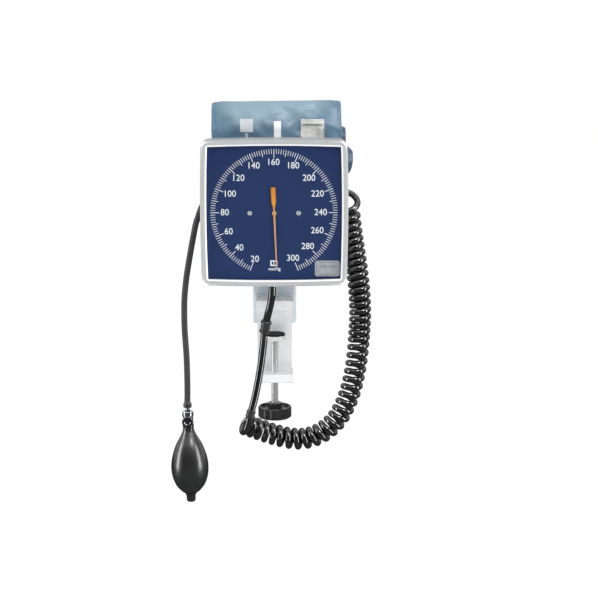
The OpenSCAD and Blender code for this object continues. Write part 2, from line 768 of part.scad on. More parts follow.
coil_axis = [[-35, -45, -113.5], [-28, -41.8, -117], [-19, -38.8, -121.2], [-8.5, -36.8, -125.6],
    [2.5, -36, -129.3], [13, -36, -132], [23.5, -36, -133.4], [34, -36, -133.2], [44.5, -36, -130.6],
    [54.5, -36, -125.8], [64, -36, -118.5], [72, -36, -109.5], [78, -36, -99.5], [83, -36, -88.5],
    [87, -36, -77], [90, -36, -65], [92.5, -36, -52], [94.5, -36, -38], [96, -36, -23],
    [97, -36, -8], [97.8, -35.8, 7], [97.8, -35.2, 22], [97, -33.6, 38], [95.6, -31.2, 53],
    [93.8, -28.4, 68], [91.5, -26, 84], [89, -24.2, 100], [86.8, -23.2, 116], [85, -23, 132]];
coil_lead_in = [collar_end, [-30, -53.7, -109]];
coil_lead_out = [[90.1, -30.7, 134.5], [93.7, -26.6, 138], [94.4, -20.6, 142], [91.6, -15.6, 146.3],
    [86.8, -13, 149.5], [80.6, -12.9, 151], [73.5, -13.7, 151.2], [66, -14.3, 151]];
axis_steps = 8;
axis_count = (len(coil_axis) - 1) * axis_steps;
axis_fine = [for (i = [0 : axis_count]) curve_at(coil_axis, i / axis_steps)];
function lengths(p, i = 0, s = 0) = i >= len(p) ? [] :
    let (l = i == 0 ? 0 : s + norm(p[i] - p[i - 1])) concat([l], lengths(p, i + 1, l));
axis_lengths = lengths(axis_fine);
axis_table = [for (i = [0 : axis_count]) [axis_lengths[i], i / axis_steps]];
// Share of the turns against share of the axis: the coil is more open where it bends and at its top
coil_share = [[0, 0], [0.12, 0.1215], [0.272, 0.288], [0.55, 0.588], [0.624, 0.653], [0.9419, 0.9396],
    [1, 1]];
function coil_point(k) =
    let (s = axis_lengths[axis_count] * lookup(k / coil_turns, coil_share),
         u = lookup(s, axis_table),
         t = unit(curve_at(coil_axis, u + 0.1) - curve_at(coil_axis, u - 0.1)),
         n = unit([0, -1, 0] - t * ([0, -1, 0] * t)), m = cross(t, n))
    curve_at(coil_axis, u) + coil_r * (n * cos(360 * k) + m * sin(360 * k));
rings_per_turn = 8;
coil_rings = [for (i = [0 : coil_turns * rings_per_turn]) coil_point(i / rings_per_turn)];
coil_route = concat(coil_lead_in, coil_rings, coil_lead_out);
coil_gap = min([for (i = [0 : len(coil_rings) - 1], j = [i + 5 : min(i + 12, len(coil_rings) - 1)])
    norm(coil_rings[j] - coil_rings[i])]) - coil_tube_d;
echo(least_gap_of_coil_mm = coil_gap);  // coil_tube
echo(length_of_coiled_tube_mm = lengths(coil_route)[len(coil_route) - 1]);  // coil_tube

module coil_tube() {
    color("dimgray") tube(coil_route, coil_tube_d, 6, [1, 0, 0]);
}

// Connectors in the basket, where the tubes meet the cuff's own

module tube_joint(x0, x1, y, z) {
    l = x1 - x0;
    color("ivory") translate([x0, y, z]) rotate([0, 90, 0])
        turned_piece([[0, 0], [4.4, 0], [5.4, 1], [5.4, 7], [4.2, 7.6], [4.2, l - 7.6], [5.4, l - 7],
            [5.4, l - 1], [4.4, l], [0, l]]);
}

module cuff_connector() {
    tube_joint(42, 66, -14.3, 151);
}

module bulb_connector() {
    tube_joint(-58.5, -34.5, -20, 150);
}

cuff_tube_right = [[14, -5, 146], [15, -9, 146.3], [19, -12.6, 147.7], [26, -14.2, 149.8],
    [34, -14.3, 151], [42, -14.3, 151]];
cuff_tube_left = [[-6.5, -5, 146], [-7.5, -9.5, 146.2], [-11.5, -14.4, 147.3], [-18.5, -18.6, 149.1],
    [-26.5, -20, 150], [-34.5, -20, 150]];
module cuff_tubes() {
    color("dimgray") {
        tube(cuff_tube_right, bulb_tube_d);
        tube(cuff_tube_left, bulb_tube_d);
    }
}

// Folded cuff: a soft pack, slim between the basket's walls and fuller above them

cuff_levels = [60.6, 62, 65.6, 72, 84, 100, 118, 136, 150, 158, 163, 168, 174, 184, 196, 208, 218, 228,
    cuff_top - 11, cuff_top - 5, cuff_top - 1.4, cuff_top];
cuff_points = 44;
cuff_bottom = cuff_levels[0];
function ease(x) = x <= 0 ? 0 : x >= 1 ? 1 : x * x * (3 - 2 * x);
function cuff_round(z) = sqrt(max(0, 1 - pow(max(0, (z - cuff_top + 9) / 9, (cuff_bottom + 5 - z) / 5), 2)));
function cuff_left(z) = -66.5 - 5 * ease((z - 158) / 14) + 5 * (1 - cuff_round(z));
function cuff_right(z) =
    66.5 + 23 * ease((z - 158) / 14) - 13 * ease((z - 208) / 20) - 5 * (1 - cuff_round(z));
function cuff_front(z) = -7.5 - 13 * ease((z - 160) / 30) + sin(9 * z);
function cuff_back(z) = 13.5 + 5 * ease((z - 160) / 20) + 0.5 * sin(7 * z);
function soft_point(q, x0, x1, y0, y1, crown) =
    let (c = cos(q), s = sin(q),
         u = sign(c) * pow(abs(c), 0.42),
         v = sign(s) * pow(abs(s), 0.42),
         pleat = 1 - 0.12 * pow(abs(u), 6) * (0.5 + 0.5 * cos(540 * v)))
    [mix(x0, x1, 0.5 + 0.5 * u * pleat), mix(y0, y1, 0.5 + 0.5 * v * crown)];
function cuff_ring(z) = [for (i = [0 : cuff_points - 1])
    let (p = soft_point(360 * (i + 0.5) / cuff_points, cuff_left(z), cuff_right(z),
        cuff_front(z), cuff_back(z), 0.3 + 0.7 * cuff_round(z)),
        lobe = 76.5 + 13 * ease((p[1] - cuff_front(z) - 8) / 8))
    [min(p[0], lobe), p[1], z]];
module cuff() {
    color("steelblue") skin([for (z = backwards(cuff_levels)) cuff_ring(z)]);
}

module cuff_hook_patch() {
    color("lightgray") slab(-22.6, -20.2) round_rect([30, 205], [56.5, 236], 1.5);
}

// Inflation bulb, hanging on its tube at the left

bulb_route = [[-58.5, -20, 150], [-65.5, -20, 149.1], [-72, -20.6, 146.4], [-77.6, -21.8, 142.1],
    [-81.9, -23.3, 136.5], [-84.5, -24.6, 130.5], [-86.4, -25.4, 125], [-88.8, -26, 118], [-91.1, -26, 107.5],
    [-93.2, -26, 97], [-94.9, -26, 88], [-96.5, -26, 79], [-98.1, -26, 70], [-99.8, -26, 60],
    [-101.2, -26, 50], [-102.4, -26, 39.5], [-103.3, -26, 28], [-103.6, -26, 16], [-103.6, -26, 4],
    [-103.3, -26, -8], [-102.6, -26, -20], [-101.9, -26, -32], [-101.4, -26, -45], [-101.2, -26, -58],
    [-101.1, -26, -71], [-101.2, -26, -84], [-101.4, -26, -91]];
bulb_hang = [-101.4, -26, -91];
sleeve_l = 7.2;
// Height of the air release screw below the end of the tube
screw_drop = -21.4;

// Places a piece on the bulb's axis, below the end of its tube
module hanging() {
    translate(bulb_hang) rotate([0, -bulb_lean, 0]) children();
}

module bulb_tube() {
    color("dimgray") tube(bulb_route, bulb_tube_d);
}

module tube_sleeve() {
    r = bulb_tube_d / 2;
    color("dimgray") hanging() turned_piece([[0, 0], [r, 0], [r + 1.3, -2.6], [r + 1.35, -sleeve_l + 0.5],
        [r + 0.9, -sleeve_l], [2.4, -sleeve_l], [2.4, -2], [0, -2]]);
}

module valve_body() {
    color("silver") hanging() difference() {
        union() {
            turned_piece([[0, -2], [1.9, -2], [2.4, -3], [2.4, -sleeve_l - 2.6], [5.6, -sleeve_l - 4],
                [6.5, -sleeve_l - 4.8], [6.7, -sleeve_l - 5.4], [6.7, -16.6], [6.3, -17.2], [6.1, -18],
                [6.1, -25.6], [6.6, -26.4], [6.6, -28.6], [4.5, -28.9], [4.5, -38.5], [0, -38.5]]);
            translate([0, -8.6, screw_drop]) rotate([-90, 0, 0]) cylinder(r = 4, h = 8, $fn = 48);
        }
        translate([0, -9, screw_drop]) rotate([-90, 0, 0])
            cylinder(r = 2 + running_gap, h = 9, $fn = 48);
        translate([0, 0, -41]) cylinder(r = 1.5, h = 13, $fn = 32);
        translate([0, 0, -30]) cylinder(r = 0.9, h = 29, $fn = 32);
        translate([-7.2, 0, -14.6]) rotate([0, 90, 0]) cylinder(r = 1.2, h = 3, $fn = 32);
    }
}

module valve_screw() {
    color("gray") hanging() translate([0, 0, screw_drop]) rotate([90, 0, 0]) difference() {
        turned_piece([[0, 0.6], [2, 0.6], [2, 9], [5.9, 9], [6.5, 9.6], [6.5, 13.4], [5.9, 14],
            [3.6, 14], [3, 13.5], [0, 13.5]]);
        for (i = [0 : 17]) rotate([0, 0, 20 * i]) translate([7.05, 0, 8]) cylinder(r = 0.8, h = 7, $fn = 16);
    }
}

bulb_outline = [[6.4, -29], [6.4, -33.2], [7.5, -36.4], [10.2, -42], [15.4, -51.4], [19.3, -62.5],
    [21.2, -71.5], [21.7, -80], [20.6, -90], [17, -99.6], [11.4, -106.6], [6.9, -110.4], [5.4, -113.6]];
bulb_hollow = [[4.5, -41], [8, -45], [13.2, -54], [16.9, -63.5], [18.8, -72], [19.3, -80], [18.1, -89],
    [14.5, -97.5], [9, -103.5], [3, -106.4]];
bulb_bottom = -120.6;
module bulb() {
    scale_r = bulb_d / 43.5;
    outer = [for (i = [0 : 3 * (len(bulb_outline) - 1)]) curve_at(bulb_outline, i / 3)];
    inner = [for (i = [0 : 2 * (len(bulb_hollow) - 1)]) curve_at(bulb_hollow, i / 2)];
    color("dimgray") hanging() turned_piece(concat(
        [[4.5, -29]], [for (p = outer) [p[0] * scale_r, p[1]]],
        [[5.3, -118.6], [4.6, -120], [3.6, bulb_bottom], [2.6, bulb_bottom], [2.6, -110], [1.2, -110]],
        [[1.2, -106.6]], backwards(inner), [[4.5, -39]]));
}

module end_valve() {
    color("silver") hanging() turned_piece([[0.8, -110], [2.6, -110], [2.6, bulb_bottom + 0.4],
        [1.9, bulb_bottom - 0.2], [0.8, bulb_bottom - 0.2]]);
}

clamp_body();
jaw_screws();
mount_plate();
plate_screws();
pad_rubber();
pad_cup();
clamp_screw();
clamp_knob();
cuff_basket();
basket_screws();
basket_nuts();
case_screws();
rear_case();
front_bezel();
lens();
lens_gasket();
dial_plate();
dial_screws();
pointer();
pointer_cap();
pinion_arbor();
sector_gear();
sector_stud();
rocker_shaft();
capsule();
capsule_pin();
hairspring();
movement_base();
rear_pillars();
movement_rear_plate();
front_pillars();
movement_front_plate();
movement_screws();
inlet_port();
port_nut();
inner_tube();
gauge_hose();
hose_connector();
link_hose();
coil_connector();
coil_tube();
cuff_connector();
cuff_tubes();
cuff();
cuff_hook_patch();
bulb_connector();
bulb_tube();
tube_sleeve();
valve_body();
valve_screw();
bulb();
end_valve();
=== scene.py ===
# %% [markdown]
# # A blood pressure gauge on a screw clamp
#
# A square dial head sits on a clamp, a folded cuff stands in a basket behind it, and a straight
# hose, a coiled tube and a rubber bulb hang down. The rigid parts come from the CAD model, which
# is a fixed frame: they stay where they are and only get finishes here. The soft parts and the
# printed ones are made in this script, in metres, in the CAD model's own frame.

# %% Load the frame
import json
from math import cos, pi, radians, sin, sqrt, tau

import bmesh
import bpy
import numpy as np
from mathutils import Matrix, Vector, noise
from mathutils.bvhtree import BVHTree


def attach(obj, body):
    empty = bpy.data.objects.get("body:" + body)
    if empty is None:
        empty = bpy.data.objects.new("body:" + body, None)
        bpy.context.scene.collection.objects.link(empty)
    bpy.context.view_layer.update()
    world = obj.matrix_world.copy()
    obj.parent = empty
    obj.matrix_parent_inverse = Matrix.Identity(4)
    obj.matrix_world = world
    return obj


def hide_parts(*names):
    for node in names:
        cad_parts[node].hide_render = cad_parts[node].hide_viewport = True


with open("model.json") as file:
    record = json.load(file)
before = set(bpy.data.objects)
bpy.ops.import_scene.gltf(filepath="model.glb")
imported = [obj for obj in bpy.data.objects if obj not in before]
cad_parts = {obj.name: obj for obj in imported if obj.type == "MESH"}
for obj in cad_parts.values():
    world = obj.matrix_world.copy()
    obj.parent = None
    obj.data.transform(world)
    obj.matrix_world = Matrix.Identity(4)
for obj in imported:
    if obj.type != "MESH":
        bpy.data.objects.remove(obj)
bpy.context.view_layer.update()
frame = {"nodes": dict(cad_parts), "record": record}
mm = 0.001
scene = bpy.context.scene


def linked(name, data):
    """A new object in the scene"""
    made = bpy.data.objects.new(name, data)
    scene.collection.objects.link(made)
    return made


# %% [markdown]
# ## The camera
#
# A product picture is taken from a little above with a long lens, so that the dial looks square.
# The camera stands two metres off and looks eleven degrees down.

# %% Camera
def look_direction(azimuth, elevation):
    a, e = radians(azimuth), radians(elevation)
    return Vector((-sin(a) * cos(e), cos(a) * cos(e), -sin(e)))


looked_at = Vector((28.41, 0, 24.49)) * mm
camera_distance = 1.95
camera_data = bpy.data.cameras.new("camera")
camera_data.lens = 100.98
camera_data.sensor_width = 36
camera = linked("camera", camera_data)
forward = look_direction(azimuth=-0.75, elevation=10.95)
camera.location = looked_at - forward * camera_distance
camera.rotation_mode = "QUATERNION"
camera.rotation_quaternion = forward.to_track_quat("-Z", "Y")
scene.camera = camera
print("camera at", [round(x, 3) for x in camera.location])

# %% [markdown]
# ## Finishes: a small set of tools
#
# A real surface is never one flat colour: it has patches, fine grain and places where it is
# smoother or duller. Each finish here is a Principled shader with colour, roughness and bump
# driven by noise in object coordinates, so the grain has a real size in metres and stays put
# when a part moves. What is the same all over is set on the shader's own sockets.

# %% Node helpers
def add(tree, kind, inputs=None, **settings):
    """Adds a shader node, sets its fields, and links or fills its sockets"""
    made = tree.nodes.new("ShaderNode" + kind)
    for field, value in settings.items():
        setattr(made, field, value)
    for socket, value in (inputs or {}).items():
        if isinstance(value, bpy.types.NodeSocket):
            tree.links.new(value, made.inputs[socket])
        else:
            made.inputs[socket].default_value = value
    return made


def math_node(tree, operation, a, b=0.0):
    return add(tree, "Math", {0: a, 1: b}, operation=operation).outputs[0]


def mix_colour(tree, amount, a, b):
    made = add(tree, "Mix", {0: amount, 6: a, 7: b}, data_type="RGBA")
    return made.outputs[2]


def spread(tree, value, low, high, from_low=0.0, from_high=1.0):
    """Maps a value's range from_low..from_high to low..high"""
    sockets = {0: value, 1: from_low, 2: from_high, 3: low, 4: high}
    return add(tree, "MapRange", sockets).outputs[0]


def noise_of(tree, place, scale, detail=2.0, rough=0.5):
    sockets = {"Vector": place, "Scale": scale, "Detail": detail, "Roughness": rough}
    return add(tree, "TexNoise", sockets).outputs[0]


def mapped(tree, stretch=(1, 1, 1), shift=(0, 0, 0), source="Object"):
    place = add(tree, "TexCoord").outputs[source]
    sockets = {"Vector": place, "Location": shift, "Scale": stretch}
    return add(tree, "Mapping", sockets).outputs[0]


def absolute(tree, value):
    return math_node(tree, "ABSOLUTE", value)


def axes_of(tree, place):
    return add(tree, "SeparateXYZ", {0: place}).outputs


def turned_away(tree):
    """0 where the surface faces the eye, and 1 at its outline"""
    return add(tree, "LayerWeight", {"Blend": 0.5}).outputs["Facing"]


def rgb(colour):
    return (*colour, 1.0)


finishes = {}
wear_to_grain = 0.11


def finish(name, light, dark, patch=14, rough=(0.3, 0.42), grain=900, depth=0.00002,
           stretch=(1, 1, 1), source="Object", **surface):
    """A finish whose colour, roughness and grain come from noise; returns its tree and shader"""
    material = bpy.data.materials.new(name)
    material.use_nodes = True
    tree = material.node_tree
    shader = tree.nodes["Principled BSDF"]
    for socket, value in surface.items():
        shader.inputs[socket.replace("_", " ")].default_value = value
    place = mapped(tree, stretch, source=source)
    even = mapped(tree)
    clouds = spread(tree, noise_of(tree, even, patch, 4.0), 0, 1, 0.3, 0.7)
    specks = noise_of(tree, place, grain, 3.0, 0.6)
    colour = mix_colour(tree, clouds, rgb(light), rgb(dark))
    tree.links.new(colour, shader.inputs["Base Color"])
    wear = noise_of(tree, place, grain * wear_to_grain, 5.0)
    tree.links.new(spread(tree, wear, *rough, 0.3, 0.7), shader.inputs["Roughness"])
    bump = add(tree, "Bump", {"Height": specks, "Distance": depth, "Strength": 1.0})
    tree.links.new(bump.outputs[0], shader.inputs["Normal"])
    finishes[name] = material
    return tree, shader, bump


def on_top(tree, shader, amount, colour):
    """Lays a colour over a finish where amount is 1"""
    below = shader.inputs["Base Color"].links[0].from_socket
    tree.links.new(mix_colour(tree, amount, below, rgb(colour)), shader.inputs["Base Color"])


def raised(tree, bump, height, depth):
    """Adds a second relief under the grain of a finish"""
    lower = add(tree, "Bump", {"Height": height, "Distance": depth, "Strength": 1.0})
    tree.links.new(lower.outputs[0], bump.inputs["Normal"])

# %% [markdown]
# ### Painted and moulded surfaces
#
# The clamp is cast and enamelled, so it has a faint orange peel under a clear coat. The mount
# plate has a powder coat with a finer, duller grain. The head and basket are moulded in white
# plastic, and the knob in black. The step inside the bezel's rim, round the window, and the
# window's gasket are painted whiter, as a highlight where they catch the light.

# %% Enamel, powder coat and plastics
finish("white_enamel", (0.90, 0.905, 0.92), (0.85, 0.86, 0.88), patch=22, rough=(0.22, 0.34),
       grain=420, depth=0.00003, Coat_Weight=0.25, Coat_Roughness=0.12)
finish("pale_plate", (0.70, 0.76, 0.82), (0.65, 0.71, 0.77), patch=18, rough=(0.42, 0.55),
       grain=1700, depth=0.00003)
moulded_white = dict(light=(0.47, 0.48, 0.485), dark=(0.425, 0.435, 0.44), patch=16,
                     rough=(0.28, 0.4), grain=1400, depth=0.000012)
finish("white_plastic", **moulded_white)
tree, shader, _ = finish("bezel_plastic", **moulded_white)
hub = Vector((0, -60, 134)) * mm
# painted highlight: the step round the window is painted whiter than the rest of the rim
step_reach, step_front = 80 * mm, -66.85 * mm
x, y, z = axes_of(tree, mapped(tree, shift=(0, 0, -hub.z)))
far = math_node(tree, "MAXIMUM", absolute(tree, x), absolute(tree, z))
painted_highlight_step = math_node(tree, "MULTIPLY", math_node(tree, "LESS_THAN", far, step_reach),
                math_node(tree, "GREATER_THAN", y, step_front))
on_top(tree, shader, painted_highlight_step, (0.93, 0.94, 0.95))
# painted highlight: the window's gasket is painted white
finish("gasket_painted_highlight", (0.86, 0.87, 0.88), (0.78, 0.79, 0.80), patch=30, rough=(0.2, 0.3),
       grain=1400, depth=0.000008)
finish("pale_plastic", (0.66, 0.66, 0.63), (0.58, 0.58, 0.55), patch=40, rough=(0.32, 0.45),
       grain=1200, depth=0.00002)
finish("black_plastic", (0.034, 0.034, 0.036), (0.020, 0.020, 0.022), patch=60, rough=(0.3, 0.44),
       grain=1500, depth=0.00003, Coat_Weight=0.6, Coat_IOR=1.7, Coat_Roughness=0.28)
print("moulded and painted finishes:", len(finishes))

# %% [markdown]
# ### Metals
#
# Plated steel keeps the fine lines of its drawing, chrome only has faint smudges, and the brass
# of the movement is darker in patches where it has tarnished. The rod, the pad's cup and the
# dial's screws are paler, and the slots of the screws are painted dark, as the shade in them.

# %% Steel, chrome and brass
drawn = dict(patch=60, grain=1100, stretch=(1, 1, 0.12))
finish("bright_steel", (0.78, 0.79, 0.80), (0.66, 0.67, 0.68), rough=(0.12, 0.24),
       depth=0.00001, Metallic=1.0, **drawn)
finish("chrome", (0.80, 0.81, 0.83), (0.70, 0.71, 0.73), patch=90, rough=(0.05, 0.13),
       grain=700, depth=0.000003, Metallic=1.0)
finish("chrome_dark", (0.24, 0.245, 0.26), (0.15, 0.155, 0.165), patch=120, rough=(0.1, 0.24),
       grain=900, depth=0.000008, stretch=(1, 0.2, 1), Metallic=1.0)
finish("brass", (0.72, 0.52, 0.22), (0.46, 0.31, 0.12), patch=90, rough=(0.2, 0.38),
       grain=1300, depth=0.00001, stretch=(0.15, 1, 1), Metallic=1.0)
finish("rod_steel", (0.93, 0.94, 0.93), (0.86, 0.87, 0.86), rough=(0.06, 0.14),
       depth=0.000003, Metallic=0.62, **drawn)
finish("pad_steel", (0.95, 0.96, 0.95), (0.86, 0.87, 0.86), rough=(0.1, 0.2),
       depth=0.00001, Metallic=0.2, **drawn)
tree, shader, _ = finish("plated_screw", (0.90, 0.92, 0.90), (0.80, 0.82, 0.80), patch=300,
                         rough=(0.12, 0.25), grain=1500, depth=0.000005, Metallic=0.3)
screw_x = 27.2 * mm
sideways = absolute(tree, axes_of(tree, mapped(tree))[0])
off_slot = absolute(tree, math_node(tree, "SUBTRACT", sideways, screw_x))
# painted shade: a dark line down the middle of each screw head, where its slot is
on_top(tree, shader, spread(tree, off_slot, 0.8, 0, 0.3 * mm, 0.6 * mm), (0.10, 0.13, 0.15))
print("metals done")

# %% [markdown]
# ### Rubbers
#
# The coil and the gauge hose are glossy under a coat that fades towards their outline, where a
# little bloom dulls them. The bulb's tube is duller. The bulb is moulded: its skin is satin,
# slightly uneven, and a fine line runs down both sides where the halves of the mould met.

# %% Rubber finishes
def bloomed(tree, shader, coat):
    """Fades a soft surface's coat towards its outline, where its haze is thickest"""
    amount = spread(tree, turned_away(tree), coat, 0, 0.42, 0.75)
    tree.links.new(amount, shader.inputs["Coat Weight"])


finish("black_rubber", (0.014, 0.014, 0.014), (0.008, 0.008, 0.008), patch=80,
       rough=(0.6, 0.75), grain=1300, depth=0.00005, Specular_IOR_Level=0.15)
tree, shader, _ = finish("hose_rubber", (0.004, 0.004, 0.005), (0.007, 0.007, 0.008), patch=70,
                         rough=(0.2, 0.3), grain=500, depth=0.00001, Coat_IOR=2.3,
                         Coat_Roughness=0.06, Specular_IOR_Level=0.1)
bloomed(tree, shader, 1.0)
finish("tube_rubber", (0.040, 0.040, 0.045), (0.054, 0.054, 0.059), patch=60,
       rough=(0.42, 0.58), grain=800, depth=0.00003)
tree, shader, bump = finish("bulb_rubber", (0.006, 0.0065, 0.0075), (0.012, 0.013, 0.015),
                            patch=55, rough=(0.26, 0.4), grain=320, depth=0.00004,
                            Coat_IOR=2.2, Coat_Roughness=0.3, Specular_IOR_Level=0.2)
bloomed(tree, shader, 1.0)
bulb_y = -26 * mm
side = axes_of(tree, mapped(tree, shift=(0, -bulb_y, 0)))[1]
mould_line = spread(tree, absolute(tree, side), 1, 0, 0.15 * mm, 0.6 * mm)
raised(tree, bump, mould_line, 0.15 * mm)
print("rubber finishes done")

# %% [markdown]
# ### The window and the dial's colours
#
# The window is thin and clear, so it only adds a reflection that grows towards grazing angles.
# Mixing a Transparent shader with a glossy one by how the surface faces the eye shows that
# without making the dial behind it dark, as a full glass shader would.

# %% Window and dial
def clear_finish(name):
    material = bpy.data.materials.new(name)
    material.use_nodes = True
    tree = material.node_tree
    shader = tree.nodes["Principled BSDF"]
    shader.inputs["Base Color"].default_value = rgb((0.9, 0.93, 0.95))
    shader.inputs["Metallic"].default_value = 1.0
    haze = noise_of(tree, mapped(tree), 30, 4.0)
    tree.links.new(spread(tree, haze, 0.02, 0.09, 0.3, 0.7), shader.inputs["Roughness"])
    through = add(tree, "BsdfTransparent", {"Color": rgb((0.97, 0.98, 0.985))})
    glare = math_node(tree, "MULTIPLY", math_node(tree, "POWER", turned_away(tree), 4.0), 0.5)
    both = add(tree, "MixShader", {0: math_node(tree, "ADD", glare, 0.018),
                                   1: through.outputs[0], 2: shader.outputs[0]})
    output = tree.nodes["Material Output"]
    tree.links.new(both.outputs[0], output.inputs["Surface"])
    finishes[name] = material


clear_finish("clear_lens")
finish("dial_navy", (0.019, 0.041, 0.134), (0.015, 0.034, 0.114), patch=9, rough=(0.4, 0.5),
       grain=1800, depth=0.000004, Specular_IOR_Level=0.2)
finish("dial_white", (0.92, 0.93, 0.94), (0.86, 0.88, 0.90), patch=60, rough=(0.4, 0.5),
       grain=2600, depth=0.00001)
finish("label_silver", (0.60, 0.61, 0.64), (0.44, 0.45, 0.48), patch=110, rough=(0.3, 0.42),
       grain=1500, depth=0.00001, stretch=(0.1, 1, 1), Metallic=0.3)
print("dial finishes done")

# %% [markdown]
# The pointer is a thin stamping with an amber tail and a paler needle. Its finish turns the
# object coordinates onto the pointer's own axis, and paints shade along its edges, darker by the
# distance from the middle as a share of the half width at that place. A ring with a dark eye
# marks the hub.

# %% Pointer finish
pointer_lean, ring_radius = radians(2.3), 2.3 * mm
tree, shader, _ = finish("pointer_amber", (0.80, 0.34, 0.055), (0.70, 0.27, 0.04), patch=70,
                         rough=(0.3, 0.42), grain=1500, depth=0.00001)
centred = mapped(tree, shift=tuple(-hub))
turned_place = add(tree, "Mapping", {"Vector": centred, "Rotation": (0, pointer_lean, 0)})
across, _, upward = axes_of(tree, turned_place.outputs[0])
tail_half = spread(tree, upward, 0.95 * mm, 3.0 * mm, 5.3 * mm, 12.3 * mm)
needle_half = spread(tree, upward, 0.65 * mm, 1.3 * mm, -59.5 * mm, -4 * mm)
half = math_node(tree, "MAXIMUM", tail_half, needle_half)
off = math_node(tree, "DIVIDE", absolute(tree, across), half)
on_top(tree, shader, spread(tree, upward, 0.8, 0, -9 * mm, -3 * mm), (0.66, 0.40, 0.24))
# painted shade along the pointer's edges, darker towards the outline
on_top(tree, shader, spread(tree, off, 0, 0.85, 0.62, 0.92), (0.12, 0.022, 0.008))
from_hub = add(tree, "VectorMath", {0: mapped(tree, stretch=(1, 0, 1), shift=(0, 0, -hub.z))},
               operation="LENGTH").outputs["Value"]
on_top(tree, shader, math_node(tree, "LESS_THAN", from_hub, ring_radius), (0.80, 0.46, 0.22))
on_top(tree, shader, spread(tree, from_hub, 1, 0, 0.8 * mm, 1.1 * mm), (0.10, 0.018, 0.006))
print("pointer finish done")

# %% [markdown]
# ### Cloth
#
# The cuff is coated nylon: a fine plain weave under a thin coating that makes it slightly shiny.
# It is painted paler towards the top fold, as light falling on the cloth there. The weave follows
# the cloth, so it reads the piece's own UV map, which is laid out in metres along and across the
# cloth. The inner layers that look out at the right are painted darker, as shade. The white marks
# are printed, so they are a colour on the same weave; the square and the small mark are painted
# greyer and bluer, as shade on them.

# %% Cloth finishes
def weave(tree, threads):
    """Two sets of threads at right angles on the UV map, in metres"""
    place = mapped(tree, source="UV")
    across = add(tree, "TexWave", {"Vector": place, "Scale": threads, "Distortion": 0.4},
                 wave_type="BANDS", bands_direction="X").outputs[1]
    along = add(tree, "TexWave", {"Vector": place, "Scale": threads, "Distortion": 0.4},
                wave_type="BANDS", bands_direction="Y").outputs[1]
    return math_node(tree, "MULTIPLY", across, along)


def mark_mask(tree, x_range, z_range, front):
    """1 inside an upright rectangle, nearer to the reader than a depth, and 0 elsewhere"""
    x, y, z = axes_of(tree, mapped(tree))
    inside = math_node(tree, "LESS_THAN", y, front)
    for value, (low, high) in ((x, x_range), (z, z_range)):
        middle, half = (low + high) / 2, (high - low) / 2
        far = absolute(tree, math_node(tree, "SUBTRACT", value, middle))
        inside = math_node(tree, "MULTIPLY", inside, math_node(tree, "LESS_THAN", far, half))
    return inside


tree, shader, bump = finish("cuff_cloth", (0.140, 0.255, 0.350), (0.118, 0.212, 0.310), patch=26,
                            rough=(0.30, 0.44), grain=1500, depth=0.00002, IOR=1.75,
                            Specular_IOR_Level=0.3, Coat_Roughness=0.3, Sheen_Weight=0.1,
                            Sheen_Roughness=0.35)
raised(tree, bump, weave(tree, 330), 0.00006)
sideways, _, upward = axes_of(tree, mapped(tree))
# painted light: the cloth is paler towards the top fold, less so towards the sides
uneven = spread(tree, noise_of(tree, mapped(tree), 34, 3.0), -0.016, 0.016, 0.3, 0.7)
painted_light_near_fold = spread(tree, math_node(tree, "ADD", upward, uneven), 0, 0.62, 220 * mm, 240 * mm)
from_edge = spread(tree, absolute(tree, sideways), 1, 0.1, 45 * mm, 68 * mm)
on_top(tree, shader, math_node(tree, "MULTIPLY", painted_light_near_fold, from_edge), (0.36, 0.50, 0.59))
# painted shade: the inner layers and the right end of the cuff are darker
painted_shade_right_end = spread(tree, sideways, 0, 0.8, 72.5 * mm, 78.5 * mm)
on_top(tree, shader, painted_shade_right_end, (0.034, 0.062, 0.130))
bloomed(tree, shader, 0.3)
mark_front = -12 * mm
# the marks are white print; the square and the small mark are painted greyer and bluer, as shade on
# them
printed = [((-38.3, -23.7), (220.4, 235.2), (0.70, 0.74, 0.78)),
           ((-32.6, -29.6), (211.0, 219.0), (0.62, 0.68, 0.74)),
           ((-0.2, 7.8), (200.0, 232.6), (0.97, 0.98, 0.98))]
for x_range, z_range, tone_with_painted_shade in printed:
    x_range, z_range = [v * mm for v in x_range], [v * mm for v in z_range]
    on_top(tree, shader, mark_mask(tree, x_range, z_range, mark_front), tone_with_painted_shade)
finish("hook_cloth", (0.93, 0.93, 0.91), (0.66, 0.67, 0.65), patch=240, rough=(0.6, 0.8),
       grain=900, depth=0.0002, Sheen_Weight=0.3)
for name, light, dark in (("thread", (0.20, 0.32, 0.46), (0.12, 0.21, 0.34)),
                          ("pale_thread", (0.55, 0.56, 0.56), (0.42, 0.43, 0.43)),
                          ("grey_thread", (0.20, 0.205, 0.21), (0.12, 0.125, 0.13))):
    finish(name, light, dark, patch=300, rough=(0.55, 0.7), grain=2500, depth=0.00004)
print("finishes:", sorted(finishes))

# %% [markdown]
# ## Dressing the CAD parts
#
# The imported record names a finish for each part, so one loop gives every CAD part its own. Four
# parts share a slot with others that look different, so they get their own coating after that.

# %% Finish every CAD part
for subpart in frame["record"]["subparts"]:
    node = frame["nodes"][subpart["node"]]
    for used in node.material_slots:
        used.material = finishes[subpart["material_slot"]]
# the gasket's white coating and the bezel's whiter step are painted highlight
for node, coating in (("dial_screws", "plated_screw"), ("lens_gasket", "gasket_painted_highlight"),
                      ("front_bezel", "bezel_plastic"), ("pad_cup", "pad_steel")):
    frame["nodes"][node].material_slots[0].material = finishes[coating]

# %% [markdown]
# ## Hoses and tubes
#
# A hose is a curve with a round bevel: the curve is its centreline, and half its diameter is the
# bevel's depth. The routes are the CAD model's own points, in millimetres. The straight hoses
# are Bezier curves with automatic handles, which bend as smoothly as rubber does.

